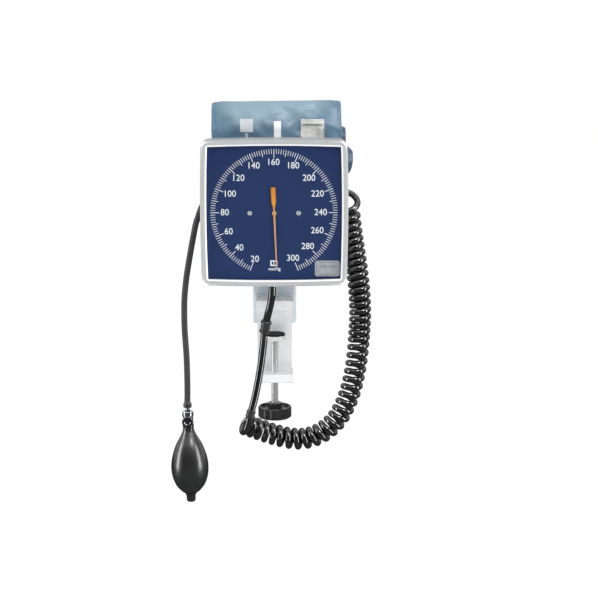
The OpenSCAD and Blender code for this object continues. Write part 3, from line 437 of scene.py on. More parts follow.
# %% Curve tools
def points(*triples):
    return [Vector(p) * mm for p in triples]


def hose(name, route, diameter, coating, sides, steps=6):
    """A round hose along a smooth curve through the points of its route"""
    data = bpy.data.curves.new(name, "CURVE")
    data.dimensions = "3D"
    data.bevel_depth = diameter / 2
    data.bevel_resolution = sides // 2 - 1
    data.use_fill_caps = True
    data.resolution_u = steps
    line = data.splines.new("BEZIER")
    line.bezier_points.add(len(route) - 1)
    for knot, place in zip(line.bezier_points, route):
        knot.co = place
        knot.handle_left_type = knot.handle_right_type = "AUTO"
    data.materials.append(finishes[coating])
    made = linked(name, data)
    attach(made, "root")
    return made


def length_of(route):
    return sum((b - a).length for a, b in zip(route, route[1:]))


# %% [markdown]
# The gauge hose runs from the port under the head to a push-together connector, and goes on
# from there to the collar of the coil. It leans out of the vertical as it hangs. It is drawn as
# one centreline that passes through the connector, which hides the joint.

# %% Gauge hose
gauge_route = points(
    (-2.5, -52, 49.4), (-2.5, -52, 43), (-3, -51.7, 37), (-4, -51, 31), (-5.5, -49.5, 24),
    (-7, -47.6, 17.5), (-8.5, -45.4, 11), (-9.2, -44.4, 8), (-10.5, -43.2, 0),
    (-11.5, -42.2, -6.5), (-12.2, -42.1, -15), (-13.8, -42.4, -29), (-15.8, -43.5, -44),
    (-18.3, -45.2, -59), (-21, -47.3, -73), (-24, -50, -86), (-26.6, -52, -95))
hose_d = 8.4 * mm
gauge_hose = hose("gauge_hose_rubber", gauge_route, hose_d, "hose_rubber", 24)
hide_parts("gauge_hose", "link_hose")
print("gauge hose", round(length_of(gauge_route), 4), "m")

# %% [markdown]
# The coiled tube is a right-hand helix wound round a smooth axis. The axis hangs from the
# connector in the basket, sweeps round below the clamp and rises to the collar. Each point of
# the tube is a place on the axis plus the coil's radius, turned one step further. The coil is
# more open where it bends, so the turns are shared along the axis by a short table.

# %% Coiled tube
axis_points = [Vector(p) for p in (
    (-35, -45, -113.5), (-28, -41.8, -117), (-19, -38.8, -121.2), (-8.5, -36.8, -125.6),
    (2.5, -36, -129.3), (13, -36, -132), (23.5, -36, -133.4), (34, -36, -133.2),
    (44.5, -36, -130.6), (54.5, -36, -125.8), (64, -36, -118.5), (72, -36, -109.5),
    (78, -36, -99.5), (83, -36, -88.5), (87, -36, -77), (90, -36, -65), (92.5, -36, -52),
    (94.5, -36, -38), (96, -36, -23), (97, -36, -8), (97.8, -35.8, 7), (97.8, -35.2, 22),
    (97, -33.6, 38), (95.6, -31.2, 53), (93.8, -28.4, 68), (91.5, -26, 84), (89, -24.2, 100),
    (86.8, -23.2, 116), (85, -23, 132))]


def on_curve(path, u):
    """A point of the smooth curve through the points of path; u counts points"""
    last = len(path) - 1
    i = min(last - 1, max(0, int(u)))
    t = u - i
    a, b, c, d = path[max(0, i - 1)], path[i], path[i + 1], path[min(last, i + 2)]
    return 0.5 * (2 * b + (c - a) * t + (2 * a - 5 * b + 4 * c - d) * t * t
                  + (3 * b - a - 3 * c + d) * t ** 3)


steps_of_axis = np.linspace(0, len(axis_points) - 1, 8 * (len(axis_points) - 1) + 1)
fine_axis = [on_curve(axis_points, u) for u in steps_of_axis]
axis_length = np.cumsum([0] + [(b - a).length for a, b in zip(fine_axis, fine_axis[1:])])
turns = 41
coil_radius = 9.15
share_of_turns = (0, 0.12, 0.272, 0.55, 0.624, 0.9419, 1)
share_of_axis = (0, 0.1215, 0.288, 0.588, 0.653, 0.9396, 1)
towards_reader = Vector((0, -1, 0))


def coil_point(k):
    along = axis_length[-1] * np.interp(k / turns, share_of_turns, share_of_axis)
    u = float(np.interp(along, axis_length, steps_of_axis))
    t = (on_curve(axis_points, u + 0.1) - on_curve(axis_points, u - 0.1)).normalized()
    n = (towards_reader - t * towards_reader.dot(t)).normalized()
    around = n * cos(tau * k) + t.cross(n) * sin(tau * k)
    return on_curve(axis_points, u) + coil_radius * around


per_turn = 16
coil = [coil_point(i / per_turn) for i in range(int(turns * per_turn) + 1)]
coil_route = points((-29, -53.3, -104), (-30, -53.7, -109)) + [p * mm for p in coil]
coil_route += points((90.1, -30.7, 134.5), (93.7, -26.6, 138), (94.4, -20.6, 142),
                     (91.6, -15.6, 146.3), (86.8, -13, 149.5), (80.6, -12.9, 151),
                     (73.5, -13.7, 151.2), (66, -14.3, 151))
coil_d = 7.2 * mm
coil_tube = hose("coil_rubber", coil_route, coil_d, "hose_rubber", 16, 3)
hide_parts("coil_tube")
print("coil:", len(coil_route), "points,", round(length_of(coil_route), 3), "m")

# %% [markdown]
# The bulb's tube leaves the basket at the left, bends over its side and hangs under the weight
# of the bulb. Two short tubes join the cuff's bladder to the connectors in the basket, and one
# more, inside the head, feeds the capsule.

# %% Bulb tube and the short tubes
bulb_route = points(
    (-58.5, -20, 150), (-65.5, -20, 149.1), (-72, -20.6, 146.4), (-77.6, -21.8, 142.1),
    (-81.9, -23.3, 136.5), (-84.5, -24.6, 130.5), (-86.4, -25.4, 125), (-88.8, -26, 118),
    (-91.1, -26, 107.5), (-93.2, -26, 97), (-94.9, -26, 88), (-96.5, -26, 79), (-98.1, -26, 70),
    (-99.8, -26, 60), (-101.2, -26, 50), (-102.4, -26, 39.5), (-103.3, -26, 28), (-103.6, -26, 16),
    (-103.6, -26, 4), (-103.3, -26, -8), (-102.6, -26, -20), (-101.9, -26, -32),
    (-101.4, -26, -45), (-101.2, -26, -58), (-101.1, -26, -71), (-101.2, -26, -84),
    (-101.4, -26, -91))
tube_d = 7 * mm
bulb_tube = hose("bulb_tube_rubber", bulb_route, tube_d, "tube_rubber", 20)
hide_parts("bulb_tube")
cuff_tube_right = points((14, -5, 146), (15, -9, 146.3), (19, -12.6, 147.7), (26, -14.2, 149.8),
                         (34, -14.3, 151), (42, -14.3, 151))
cuff_tube_left = points((-6.5, -5, 146), (-7.5, -9.5, 146.2), (-11.5, -14.4, 147.3),
                        (-18.5, -18.6, 149.1), (-26.5, -20, 150), (-34.5, -20, 150))
tubes = [hose("cuff_tube_right", cuff_tube_right, tube_d, "tube_rubber", 20),
         hose("cuff_tube_left", cuff_tube_left, tube_d, "tube_rubber", 20)]
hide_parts("cuff_tubes")
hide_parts("cuff_tubes")
pin_x, feed_y = -3.848, -44.4
feed_route = points((-2.5, -52, 61), (-2.5, -52, 66), (-2.7, -50.6, 70.5), (-3.2, -47.6, 73.6),
                    (-3.7, -45, 76.4), (pin_x, feed_y, 79.5), (pin_x, feed_y, 81.9))
feed_tube = hose("feed_tube", feed_route, 5 * mm, "tube_rubber", 16)
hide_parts("inner_tube")
print("bulb tube", round(length_of(bulb_route), 3), "m")

# %% [markdown]
# ## Shapes made with bmesh
#
# Turned pieces are an outline of radius and height, spun once round the Z axis. A helper writes
# the finished shape to a mesh, gives it its finish and sends it riding on a body.

# %% Shape helpers
def spun(outline, steps=48, closed=False):
    """An outline of (radius, height) in millimetres, spun round Z into a closed surface"""
    shape = bmesh.new()
    corners = [shape.verts.new((r * mm, 0, z * mm)) for r, z in outline]
    pairs = list(zip(corners, corners[1:] + corners[:1] if closed else corners[1:]))
    edges = [shape.edges.new(pair) for pair in pairs]
    bmesh.ops.spin(shape, geom=corners + edges, axis=(0, 0, 1), angle=tau, steps=steps,
                   use_merge=True)
    bmesh.ops.remove_doubles(shape, verts=shape.verts, dist=1e-6)
    bmesh.ops.recalc_face_normals(shape, faces=shape.faces)
    return shape


def piece(name, shape, coating, body="root", replaces=(), angle=35):
    """Writes a bmesh to an object that rides on a body, smooth but for edges over the angle"""
    mesh = bpy.data.meshes.new(name)
    shape.to_mesh(mesh)
    shape.free()
    mesh.shade_smooth()
    mesh.set_sharp_from_angle(angle=radians(angle))
    mesh.materials.append(finishes[coating])
    made = linked(name, mesh)
    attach(made, body)
    if replaces:
        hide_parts(*replaces)
    return made


def block(shape, low, high):
    """Adds a box between two corners, in millimetres, to a bmesh"""
    low, high = Vector(low) * mm, Vector(high) * mm
    size = Matrix.Diagonal((*(high - low), 1))
    made = bmesh.ops.create_cube(shape, size=1,
                                 matrix=Matrix.Translation((low + high) / 2) @ size)
    return made["verts"]


# %% [markdown]
# ### The bulb
#
# The bulb is spun from the same outline as the CAD solid, smoothed to more points, with its
# hollow and its neck. A slow wave in its radius keeps it from looking machined.

# %% Bulb
bulb_lean = 1.5
neck_radius = 8
swell_height, swell_scale = 0.25, 45
hanging = Matrix.Translation(bulb_route[-1]) @ Matrix.Rotation(radians(-bulb_lean), 4, "Y")


def smoothed(outline, per_step):
    path = [Vector(p) for p in outline]
    return [tuple(on_curve(path, i / per_step)) for i in range(per_step * (len(path) - 1) + 1)]


bulb_outside = smoothed([(6.4, -29), (6.4, -33.2), (7.5, -36.4), (10.2, -42), (15.4, -51.4),
                         (19.3, -62.5), (21.2, -71.5), (21.7, -80), (20.6, -90), (17, -99.6),
                         (11.4, -106.6), (6.9, -110.4), (5.4, -113.6)], 4)
bulb_inside = smoothed([(4.5, -41), (8, -45), (13.2, -54), (16.9, -63.5), (18.8, -72),
                        (19.3, -80), (18.1, -89), (14.5, -97.5), (9, -103.5), (3, -106.4)], 2)
bulb_section = ([(4.5, -29)] + bulb_outside
                + [(5.3, -118.6), (4.6, -120), (3.6, -120.6), (2.6, -120.6), (2.6, -110),
                   (1.2, -110), (1.2, -106.6)] + bulb_inside[::-1] + [(4.5, -39)])
bulb_shape = spun(bulb_section, steps=72, closed=True)
for corner in bulb_shape.verts:
    out = Vector((corner.co.x, corner.co.y, 0))
    if out.length > neck_radius * mm:
        swell = swell_height * mm * noise.noise(corner.co * swell_scale)
        corner.co += out.normalized() * swell
bulb_shape.transform(hanging)
bulb = piece("bulb_skin", bulb_shape, "bulb_rubber", replaces=["bulb"])
print("bulb faces:", len(bulb.data.polygons))

# %% [markdown]
# ### The clamp screw
#
# The rod has a fine thread of 1.25 mm. One pitch of the thread's outline is spun through all
# the turns while it drops one pitch a turn, which is what the dvec of bmesh's spin does. The
# ragged ends are cut off flat and closed.

# %% Threaded rod
rod_top, rod_bottom = -20.65, -114.8
pitch = 1.25
thread_steps = 20
thread_turns = int((rod_top - rod_bottom) / pitch) + 3
rod = bmesh.new()
start = rod_bottom - pitch
root, crest = 3.89, 3.98
section = [(root, 0), (crest, 0.2), (crest, 1.0), (root, 1.2), (root, pitch)]
rod_corners = [rod.verts.new((r * mm, 0, (start + z) * mm)) for r, z in section]
rod_edges = [rod.edges.new(pair) for pair in zip(rod_corners, rod_corners[1:])]
bmesh.ops.spin(rod, geom=rod_corners + rod_edges, axis=(0, 0, 1), angle=tau * thread_turns,
               steps=thread_steps * thread_turns, dvec=(0, 0, pitch * mm / thread_steps))
bmesh.ops.remove_doubles(rod, verts=rod.verts, dist=1e-6)
for height, side in ((rod_top, 1), (rod_bottom, -1)):
    everything = rod.verts[:] + rod.edges[:] + rod.faces[:]
    bmesh.ops.bisect_plane(rod, geom=everything, plane_co=(0, 0, height * mm),
                           plane_no=(0, 0, side), clear_outer=True)
    rim = [e for e in rod.edges if e.is_boundary and abs(e.verts[0].co.z - height * mm) < 1e-5]
    bmesh.ops.holes_fill(rod, edges=rim)
bmesh.ops.recalc_face_normals(rod, faces=rod.faces)
open_edges = sum(e.is_boundary for e in rod.edges)
threaded_rod = piece("threaded_rod", rod, "rod_steel", "screw",
                     ["clamp_screw"], angle=60)
print("rod faces:", len(threaded_rod.data.polygons), "open edges:", open_edges)

# %% [markdown]
# ## Printing on the dial
#
# The scale runs from 20 to 300 mmHg in steps of 2, and 160 stands at the top: each unit is
# 1.125 degrees. Every mark is a very thin box, turned to its place. Marks at the tens are
# longer, and at the twenties longer still.

# %% Scale marks
dial_face = -62.0
dial_centre = Vector((-0.2, 0, 134.5))
mark_outer = 70.9
print_height, print_root = 0.08, 0.02
first_value, last_value, top_value = 20, 300, 160
degrees_per_unit = 1.125


def dial_angle(value):
    return radians((value - top_value) * degrees_per_unit)


def dial_turn(value):
    return Matrix.Translation(dial_centre * mm) @ Matrix.Rotation(dial_angle(value), 4, "Y")


def mark_size(value):
    """Length and half width of a mark"""
    if value % 20 == 0:
        return 9.8, 0.38
    return (7.6, 0.33) if value % 10 == 0 else (5.3, 0.29)


marks = bmesh.new()
for value in range(first_value, last_value + 1, 2):
    long, wide = mark_size(value)
    corners = block(marks, (-wide, dial_face - print_height, mark_outer - long),
                    (wide, dial_face + print_root, mark_outer))
    bmesh.ops.transform(marks, matrix=dial_turn(value), verts=corners)
scale_marks = piece("scale_marks", marks, "dial_white")
print("scale marks:", len(scale_marks.data.polygons) // 6)

# %% [markdown]
# The numbers are text in Blender's own font, made narrower and a little bolder, turned into a
# mesh before they are placed. Each stands upright inside the long marks. The wide ones at the
# sides stand further in, so a short table gives the distance from the middle for each turn.

# %% Numbers
digit_to_font = 0.729


def lettering(name, words, height, width, weight):
    """A word as a flat mesh facing the reader, its middle at the origin"""
    data = bpy.data.curves.new(name, "FONT")
    data.body = words
    data.align_x, data.align_y = "CENTER", "CENTER"
    data.size = height / digit_to_font * mm
    data.offset = weight * mm
    data.extrude = print_height / 2 * mm
    data.resolution_u = 4
    made = linked(name, data)
    mesh = bpy.data.meshes.new_from_object(made)
    bpy.data.objects.remove(made)
    mesh.transform(Matrix.Rotation(radians(90), 4, "X") @ Matrix.Diagonal((width, 1, 1, 1)))
    low = [min(v.co[i] for v in mesh.vertices) for i in range(3)]
    high = [max(v.co[i] for v in mesh.vertices) for i in range(3)]
    middle = [(a + b) / 2 for a, b in zip(low, high)]
    mesh.transform(Matrix.Translation([-middle[0], 0, -middle[2]]))
    return mesh


def printed_words(name, words, height, width, weight, place):
    mesh = lettering(name, words, height, width, weight)
    mesh.transform(Matrix.Translation(Vector(place) * mm))
    mesh.materials.append(finishes["dial_white"])
    made = linked(name, mesh)
    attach(made, "root")


digit_high = 7.4
number_turns = [radians(22.5 * i) for i in range(8)]
number_reach = (56.7, 57.2, 55, 52.4, 52, 52.2, 53.2, 55.2)
number_lift = (0, 0, 0.2, 1.4, 0.6, 0.2, 0, 0)
two_digit_reach = 2.8
numbered = range(first_value, last_value + 1, 20)
for value in numbered:
    turn = dial_angle(value)
    reach = np.interp(abs(turn), number_turns, number_reach)
    if value < 100:
        reach += two_digit_reach * abs(sin(turn))
    lift = np.interp(abs(turn), number_turns, number_lift)
    place = (dial_centre.x + reach * sin(turn), dial_face - print_height / 2,
             dial_centre.z + reach * cos(turn) + lift)
    printed_words(f"number_{value}", str(value), digit_high, 0.95, 0.05, place)
printed_words("unit_words", "mmHg", 3.7, 0.98, 0.1, (0.2, dial_face - print_height / 2, 70.4))
print("numbers:", len(numbered))

# %% [markdown]
# Below the hub a small white box with two dark squares marks where the pointer rests at zero,
# and the lower right corner has a blank silver label with plain lines.

# %% Zero box and label
def printed_boxes(name, boxes, middle, front, back, coating):
    """Thin boxes on the dial, each from its low to its high corner, measured from a middle"""
    shape = bmesh.new()
    for low, high in boxes:
        block(shape, (middle[0] + low[0], dial_face - front, middle[1] + low[1]),
              (middle[0] + high[0], dial_face - back, middle[1] + high[1]))
    piece(name, shape, coating)


zero_box = (((-4, -3.2), (4, -1.7)), ((-4, 1.7), (4, 3.2)), ((-4, -1.75), (-2.4, 1.75)),
            ((2.4, -1.75), (4, 1.75)), ((-0.4, -1.75), (0.4, 1.75)))
printed_boxes("zero_box", zero_box, (-0.6, 77.4), print_height, -print_root, "dial_white")
label = bmesh.new()
label_height = 0.15
block(label, (45.4, dial_face - label_height, 62.4), (73.2, dial_face + print_root, 80.2))
upright = [e for e in label.edges if abs(e.verts[0].co.y - e.verts[1].co.y) > 0.1 * mm]
bmesh.ops.bevel(label, geom=upright, offset=3 * mm, affect="EDGES", segments=6, profile=0.5,
                material=-1)
piece("blank_label", label, "label_silver")
label_lines = (((48.4, 63.9), (70.2, 64.2)), ((48.4, 78.4), (70.2, 78.7)),
               ((46.9, 65.4), (47.2, 77.2)), ((71.4, 65.4), (71.7, 77.2)),
               ((47.8, 73.2), (70.8, 73.5)))
printed_boxes("label_lines", label_lines, (0, 0), 0.2, 0.1, "chrome_dark")
print("dial printing done")

# %% [markdown]
# ## The folded cuff
#
# The cuff is one long band of coated cloth with a bladder inside. It stands in the basket with
# its width across and its length folded up and down: the outer end starts low in front, the
# cloth goes up, over a round top fold and down the back, then up and down once more inside. The
# band's outline seen from the side is a chain of depths and heights, and each point of the
# chain is one row of the cloth. Heights are in millimetres, and a depth is a share of the way
# from the cuff's front to its back.

# %% Side view of the folds
def ease(x):
    x = min(1.0, max(0.0, x))
    return x * x * (3 - 2 * x)


cuff_bottom, cuff_top = 62.6, 250.6
cloth_thick = 4.0


def cuff_front(z, start=226):
    return -5.4 - 13 * ease((z - 160) / 30) + 13.5 * ease((z - start) / (257 - start)) ** 1.2


def cuff_back(z):
    return 11.4 + 5 * ease((z - 160) / 20) - 5 * ease((z - 232) / 24)


def straight_rows(depth, start, end, layer):
    """Rows of one straight layer, closer together above the basket, where they are seen"""
    low, high = min(start, end), max(start, end)
    heights, z = [], low
    while z < high - 1.5:
        heights.append(z)
        z += 6.5 if z < 180 else 3.4
    heights.append(high)
    return [(depth, z, layer) for z in (heights if end > start else heights[::-1])]


def fold_rows(first, last, height, rise, count, layer, lean=0.0):
    """Rows of a fold between two layers; it starts leaning by an angle, and goes half round"""
    rows = []
    wide, tall = 1 + cos(lean), 1 - sin(lean)
    for i in range(1, count):
        a = lean + (pi - lean) * i / count
        share = (cos(lean) - cos(a)) / wide
        z = height + rise * (sin(a) - sin(lean)) / tall
        rows.append((first + (last - first) * share, z, layer))
    return rows


inner, core = 0.36, 0.68
chain = straight_rows(0, cuff_bottom + 1, cuff_top - 6, 0)
chain += fold_rows(0, 1, cuff_top - 6, 6, 13, 0.5, lean=pi / 4)
chain += straight_rows(1, cuff_top - 20.5, cuff_bottom + 5, 1)
chain += fold_rows(1, inner, cuff_bottom + 5, -5, 7, 1.5)
chain += straight_rows(inner, cuff_bottom + 5, 231, 2)
chain += fold_rows(inner, core, 231, 6, 8, 2.5)
chain += straight_rows(core, 231, 150, 3)
print("rows of cloth:", len(chain))

# %% [markdown]
# Each row runs from the left side of the band to the right one. The outer layers stay square to
# the basket. The two inner ones have slid to the right above it, so their rounded ends look out
# beside the front layer as a soft lobe. The columns are close together at the sides, where the
# hem and its seam are.

# %% Shape of the band
hem = (0.0, 2.0, 4.6, 7.4, 10.5)
half_width = 72.0
basket_edge = 158
columns = [-half_width + d for d in hem]
columns += [-half_width + 14 + (2 * half_width - 28) * i / 34 for i in range(35)]
columns += [half_width - d for d in hem[::-1]]


def slide(z):
    """How far the inner layers have slid to the right at a height"""
    return 13 * ease((z - basket_edge) / 16) - 8.5 * ease((z - 196) / 28)


def crease(spot):
    """Noise with sharp valleys, as a stiff coated cloth folds"""
    return abs(noise.noise(spot)) * 2 - 0.5


def cloth_point(across, depth, z, layer):
    """Where a point of the cloth lies, in millimetres"""
    side = across / half_width
    spare = 0.4 + 0.6 * ease((z - 155) / 25)
    clear = ease((z - basket_edge) / 14)
    x = 3.2 * clear + across * (0.905 + 0.09 * clear)
    near_end = ease((abs(side) - 0.9) / 0.1)
    if layer > 1.6:
        x += slide(z)
        z -= 17 * ease((x - 45) / 40) * ease((z - 186) / 40)
        depth = 0.5 + (depth - 0.5) * (1 - 0.55 * near_end)
    else:
        high = ease((z - 232) / 14)
        z -= 1.2 * ease((abs(across) - 69) / 3) ** 2 * high
        z -= (0.9 * (1 - side * side) + 0.6 * ease((-across - 60) / 12)) * high
    start = 222 + 11 * noise.noise(Vector((across * 0.038, 4.4, layer * 5)))
    y = cuff_front(z, start) + (cuff_back(z) - cuff_front(z, start)) * depth
    spot = Vector((across * 0.022, z * 0.022, layer * 3.7))
    y += (noise.noise(spot) * 3.6 + noise.noise(spot * 2.6 + Vector((7, 1, 4))) * 1.8) * spare
    pull = Vector((across * 0.022 + z * 0.035, across * 0.010 - z * 0.022, layer + 11))
    y += (crease(pull) * 2.8 + crease(pull * 2.3 + Vector((2, 9, 5))) * 1.5) * spare
    return Vector((x, y, z))


stack_depth = 34
along = [0.0]
for (d0, z0, _), (d1, z1, _) in zip(chain, chain[1:]):
    along.append(along[-1] + sqrt(((d1 - d0) * stack_depth) ** 2 + (z1 - z0) ** 2))
band = bmesh.new()
uv = band.loops.layers.uv.new("weave")


def next_row(shape, row):
    """Extrudes a row of the cloth by one and returns the new row, in the same order"""
    edges = [shape.edges.get(pair) for pair in zip(row, row[1:])]
    made = set(bmesh.ops.extrude_edge_only(shape, edges=edges)["geom"])
    return [next(e.other_vert(v) for e in v.link_edges if e.other_vert(v) in made) for v in row]


row = [band.verts.new((x, 0, 0)) for x in columns]
for pair in zip(row, row[1:]):
    band.edges.new(pair)
grid = []
flat_place = {}
for (depth, z, layer), s in zip(chain, along):
    if grid:
        row = next_row(band, row)
    for corner, across in zip(row, columns):
        corner.co = cloth_point(across, depth, z, layer) * mm
        flat_place[corner] = (across * mm, s * mm)
    grid.append(row)
for face in band.faces:
    for corner in face.loops:
        corner[uv].uv = flat_place[corner.vert]
bmesh.ops.recalc_face_normals(band, faces=band.faces)
band.verts.index_update()
numbers = [[corner.index for corner in row] for row in grid]
cuff = piece("cuff_roll", band, "cuff_cloth", replaces=["cuff"],
             angle=180)
print("columns:", len(columns), "band:", round(along[-1] * mm, 3), "m long")

# %% [markdown]
# Coated nylon wrinkles because there is a little more of it than its fold needs. Cloth does the
# same here: the part in the basket is held, the rest is told to grow by a few percent, and it
# has to buckle. The simulation runs ten times larger than life, where Blender's cloth is at its
# best, and no point may move further than the room between the layers.

# %% Wrinkles
def crumple(cloth, free, growth, most, frames=22):
    """Lets the cloth grow where it is free, and keeps the wrinkles, capped to a distance"""
    rest = [v.co.copy() for v in cloth.data.vertices]
    held = cloth.vertex_groups.new(name="held")
    for i, amount in enumerate(free):
        held.add([i], 1 - amount, "REPLACE")
    cloth.data.transform(Matrix.Scale(10, 4))
    wrinkles = cloth.modifiers.new("wrinkles", "CLOTH")
    cloth_settings = wrinkles.settings
    cloth_settings.quality = 6
    cloth_settings.mass = 0.3
    cloth_settings.tension_stiffness = cloth_settings.compression_stiffness = 60
    cloth_settings.shear_stiffness = 20
    cloth_settings.bending_stiffness = 3
    cloth_settings.shrink_min = -growth
    cloth_settings.vertex_group_mass = "held"
    cloth_settings.effector_weights.gravity = 0
    wrinkles.collision_settings.use_collision = False
    wrinkles.point_cache.frame_start, wrinkles.point_cache.frame_end = 1, frames
    for number in range(1, frames + 1):
        scene.frame_set(number)
    shape = cloth.evaluated_get(bpy.context.evaluated_depsgraph_get()).to_mesh()
    moved = [v.co * 0.1 for v in shape.vertices]
    cloth.modifiers.remove(wrinkles)
    cloth.vertex_groups.remove(held)
    furthest = 0
    for corner, start, end, amount in zip(cloth.data.vertices, rest, moved, free):
        step = end - start
        furthest = max(furthest, step.length)
        if step.length > most:
            step *= most / step.length
        corner.co = start + step * amount
    scene.frame_set(1)
    return furthest


heights = [v.co.z / mm for v in cuff.data.vertices]
free = [ease((z - 162) / 26) for z in heights]
furthest = crumple(cuff, free, growth=0.05, most=2.6 * mm)
print("wrinkles moved the cloth by up to", round(furthest / mm, 2), "mm before the cap")

# %% [markdown]
# Solidify gives the band its body: thin and pressed at the hems, thinnest along the seam, and
# full where the bladder is. The inner layers are a quarter fuller. A vertex group carries that
# share of the thickness.

# %% Body of the cloth
fill = cuff.vertex_groups.new(name="fill")
hem_fill = (0.42, 0.5, 0.34, 0.6, 0.76)
middle_fill, inner_swell = 0.8, 1.25
body_thick = cloth_thick * inner_swell
for (depth, z, layer), row in zip(chain, numbers):
    for j, i in enumerate(row):
        from_side = min(j, len(row) - 1 - j)
        amount = hem_fill[from_side] if from_side < len(hem_fill) else middle_fill
        fill.add([i], min(1, amount * (inner_swell if layer > 1.6 else 1)), "REPLACE")
thicken = cuff.modifiers.new("thickness", "SOLIDIFY")
thicken.thickness = body_thick * mm
thicken.offset = 0
thicken.vertex_group = "fill"
soften = cuff.modifiers.new("soft", "SUBSURF")
soften.levels = soften.render_levels = 1
print("cuff faces before thickness:", len(cuff.data.polygons))

# %% [markdown]
# The hems are sewn: a row of small stitches runs along both sides of the front layer. Each one
# is a six-sided sliver of thread, laid on the seam's column of the band.

# %% Stitches
def stitch(shape, start, end, outward, lift, thick=0.32 * mm):
    """Adds one stitch of thread between two places, lifted off the cloth"""
    direction = (end - start).normalized()
    side = direction.cross(outward).normalized()
    up = side.cross(direction)
    place = (start + end) / 2 + up * lift
    turn = Matrix((side, up, direction)).transposed().to_4x4()
    bmesh.ops.create_cone(shape, cap_ends=True, segments=6, radius1=thick, radius2=thick,
                          depth=(end - start).length, matrix=Matrix.Translation(place) @ turn)


seam = bmesh.new()
corners = cuff.data.vertices
stitch_step, stitch_half, thread_lift = 3.9, 1.35, 0.18
lowest_stitch = 186
for j in (2, -3):
    inward = 1 if j > 0 else -1
    next_at = 0.0
    for k in range(len(chain) - 1):
        depth, z, layer = chain[k]
        if layer > 1 or z < lowest_stitch:
            continue
        here, there = corners[numbers[k][j]].co, corners[numbers[k + 1][j]].co
        beside = corners[numbers[k][j + inward]].co
        outward = ((beside - here) * inward).cross(there - here).normalized()
        while next_at < along[k + 1]:
            if next_at >= along[k]:
                t = (next_at - along[k]) / (along[k + 1] - along[k])
                place = here.lerp(there, t)
                reach = (there - here).normalized() * stitch_half * mm
                lift = body_thick * hem_fill[2] / 2 * mm + thread_lift * mm
                stitch(seam, place - reach, place + reach, outward, lift)
            next_at += stitch_step
seam_piece = piece("cuff_stitches", seam, "thread")
print("stitches:", len(seam_piece.data.polygons) // 8)

# %% [markdown]
# ## The hook patch
#
# The grey patch is a tape of tiny plastic hooks, sewn to the cuff. It follows the cloth, so its
# grid is dropped onto the front of the cuff with rays. The hooks are cones with five sides,
# since there are hundreds of them. A line of stitches goes round, and a zigzag runs along the
# top.

# %% Hook patch
cuff_surface = BVHTree.FromObject(cuff, bpy.context.evaluated_depsgraph_get())


def front_of_cuff(x, z):
    """The place on the front of the cuff straight behind x and z, in metres"""
    return cuff_surface.ray_cast(Vector((x, -0.06, z)), Vector((0, 1, 0)))[0]


patch_low, patch_size = Vector((30.2, 205)) * mm, Vector((26.4, 29.6)) * mm
tape = bmesh.new()
bmesh.ops.create_grid(tape, x_segments=14, y_segments=16, size=0.5)
for corner in tape.verts:
    x, z = (patch_low[i] + patch_size[i] * (corner.co[i] + 0.5) for i in (0, 1))
    corner.co = front_of_cuff(x, z) + Vector((0, 0.4, 0)) * mm
bmesh.ops.smooth_vert(tape, verts=tape.verts, factor=0.5, use_axis_y=True)
raised_part = bmesh.ops.extrude_face_region(tape, geom=tape.faces[:])["geom"]
front_corners = [g for g in raised_part if isinstance(g, bmesh.types.BMVert)]
bmesh.ops.translate(tape, verts=front_corners, vec=Vector((0, -1.3, 0)) * mm)
bmesh.ops.recalc_face_normals(tape, faces=tape.faces)
front_places = [v.co.copy() for v in front_corners]


def front_of_tape(x, z):
    near = sorted(front_places, key=lambda p: (p.x - x) ** 2 + (p.z - z) ** 2)[:4]
    share = [1 / (1e-7 + (p.x - x) ** 2 + (p.z - z) ** 2) for p in near]
    return sum(p.y * w for p, w in zip(near, share)) / sum(share)


hook_columns, hook_rows, hook_step = 17, 19, 1.25
for i in range(hook_columns):
    for j in range(hook_rows):
        x = patch_low.x + (3.2 + hook_step * i) * mm
        z = patch_low.y + (3.0 + hook_step * j) * mm
        lean = noise.noise(Vector((i * 1.7, 3, j * 1.3))) * 0.9
        turn = Matrix.Rotation(radians(90), 4, "X") @ Matrix.Rotation(lean, 4, "Y")
        place = Matrix.Translation((x, front_of_tape(x, z) - 0.35 * mm, z))
        bmesh.ops.create_cone(tape, cap_ends=True, segments=5, radius1=0.42 * mm,
                              radius2=0.24 * mm, depth=0.9 * mm, matrix=place @ turn)
hook_patch = piece("hook_patch", tape, "hook_cloth",
                   replaces=["cuff_hook_patch"])
border = bmesh.new()
inset = 1.3 * mm
for side in range(4):
    a, b = (0, 1) if side % 2 == 0 else (1, 0)
    fixed = patch_low[b] + (inset if side < 2 else patch_size[b] - inset)
    count = int(patch_size[a] / (2.2 * mm))
    for k in range(count):
        middle = patch_low[a] + patch_size[a] * (k + 0.5) / count
        ends = []
        for reach in (-0.75, 0.75):
            spot = [0, 0]
            spot[a], spot[b] = middle + reach * mm, fixed
            ends.append(Vector((spot[0], front_of_tape(*spot), spot[1])))
        stitch(border, *ends, Vector((0, -1, 0)), 0.12 * mm, 0.26 * mm)
piece("patch_stitches", border, "pale_thread")
zigzag = bmesh.new()
zigzag_points = 24
corners_of_zigzag = []
for k in range(zigzag_points):
    x = patch_low.x + 2 * mm + (patch_size.x - 4 * mm) * k / (zigzag_points - 1)
    z = patch_low.y + patch_size.y - (5.4 if k % 2 else 7.0) * mm
    corners_of_zigzag.append(Vector((x, front_of_tape(x, z) - 0.75 * mm, z)))
for a, b in zip(corners_of_zigzag, corners_of_zigzag[1:]):
    stitch(zigzag, a, b, Vector((0, -1, 0)), 0.1 * mm, 0.3 * mm)
piece("patch_zigzag", zigzag, "grey_thread")
print("hook patch faces:", len(hook_patch.data.polygons))

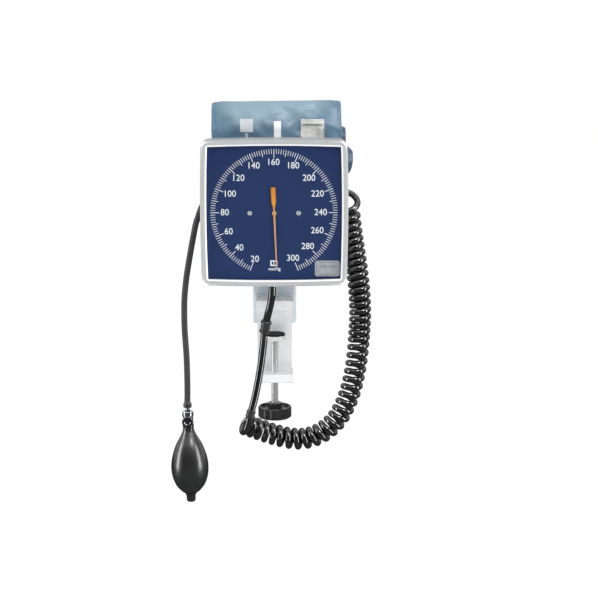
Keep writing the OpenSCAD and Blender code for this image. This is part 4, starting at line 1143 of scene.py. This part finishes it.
# %% [markdown]
# ## Stage and light
#
# The gauge hangs high, so the floor lies well below it and its shadow falls there, out of the
# picture. Two tall, narrow lamps stand at the sides, so that round black rubber shows a bright
# streak at each side and stays dark between them. A third one lights the top, and a weak one
# below fills the shadows without being seen in reflections.

# %% Floor
floor_half, floor_z = 8, -0.65
floor_shape = bmesh.new()
bmesh.ops.create_grid(floor_shape, x_segments=1, y_segments=1, size=floor_half,
                      matrix=Matrix.Translation((0, 0, floor_z)))
floor_mesh = bpy.data.meshes.new("floor")
floor_shape.to_mesh(floor_mesh)
floor_shape.free()
floor = linked("floor", floor_mesh)
floor_material = bpy.data.materials.new("floor")
floor_material.use_nodes = True
tree = floor_material.node_tree
shader = tree.nodes["Principled BSDF"]
shader.inputs["Base Color"].default_value = rgb((0.92, 0.92, 0.92))
shader.inputs["Roughness"].default_value = 0.9
rays = add(tree, "LightPath").outputs


def direct(tree, rays):
    """1 for rays that look at the background straight from the camera or through the window"""
    return math_node(tree, "MAXIMUM", rays["Is Camera Ray"], rays["Is Transmission Ray"])


glow = add(tree, "Emission", {"Color": rgb((1, 1, 1)),
                              "Strength": spread(tree, rays["Is Glossy Ray"], 1.15, 0.07)})
amount = math_node(tree, "MAXIMUM", math_node(tree, "MULTIPLY", 0.8, direct(tree, rays)),
                   math_node(tree, "MULTIPLY", 0.97, rays["Is Glossy Ray"]))
both = add(tree, "MixShader", {0: amount, 1: shader.outputs[0], 2: glow.outputs[0]})
tree.links.new(both.outputs[0], tree.nodes["Material Output"].inputs["Surface"])
floor.data.materials.append(floor_material)

# %% [markdown]
# The world is white for the camera. Reflections see it bright behind and above the object and
# dim in front, where a studio has its dark side, so only the lamps draw streaks on rubber.

# %% World and lamps
world = bpy.data.worlds.new("studio")
scene.world = world
world.use_nodes = True
tree = world.node_tree
back = tree.nodes["Background"]
back.inputs["Color"].default_value = rgb((1, 1, 1))
rays = add(tree, "LightPath").outputs
_, depth, height = add(tree, "SeparateXYZ", {0: add(tree, "TexCoord").outputs["Generated"]}).outputs
bright = math_node(tree, "MAXIMUM", spread(tree, depth, 0.04, 0.7, -0.1, 0.5),
                   spread(tree, height, 0.04, 0.8, 0.4, 0.85))
mirrored = math_node(tree, "MULTIPLY", rays["Is Glossy Ray"], bright)
other = spread(tree, math_node(tree, "MAXIMUM", direct(tree, rays), rays["Is Glossy Ray"]), 1, 0)
scattered = math_node(tree, "MULTIPLY", other, spread(tree, height, 0.62, 0.66, -0.3, 0.9))
strength = math_node(tree, "ADD", direct(tree, rays), math_node(tree, "ADD", mirrored, scattered))
tree.links.new(strength, back.inputs["Strength"])


def lamp(name, place, target, size, power):
    data = bpy.data.lights.new(name, "AREA")
    data.shape = "RECTANGLE"
    data.size, data.size_y = size
    data.energy = power
    made = linked(name, data)
    made.location = place
    aim = Vector(target) - Vector(place)
    made.rotation_mode = "QUATERNION"
    made.rotation_quaternion = aim.to_track_quat("-Z", "Y")
    return made


gauge_middle = (0, 0, 0.05)
tall, square = (0.4, 1.6), (0.5, 0.5)
lamp("left_lamp", (-1.7, -0.4, 0.2), gauge_middle, tall, power=12)
lamp("right_lamp", (1.6, -0.65, 0.2), gauge_middle, tall, power=12.5)
lamp("high_lamp", (0.7, -1.0, 1.35), gauge_middle, square, power=9)
low_fill = lamp("low_fill", (0, -1.1, -0.5), (0, 0, 0), (1.0, 0.5), power=2.8)
low_fill.visible_glossy = False
scene.view_settings.view_transform = "Standard"
print("stage and lamps done")
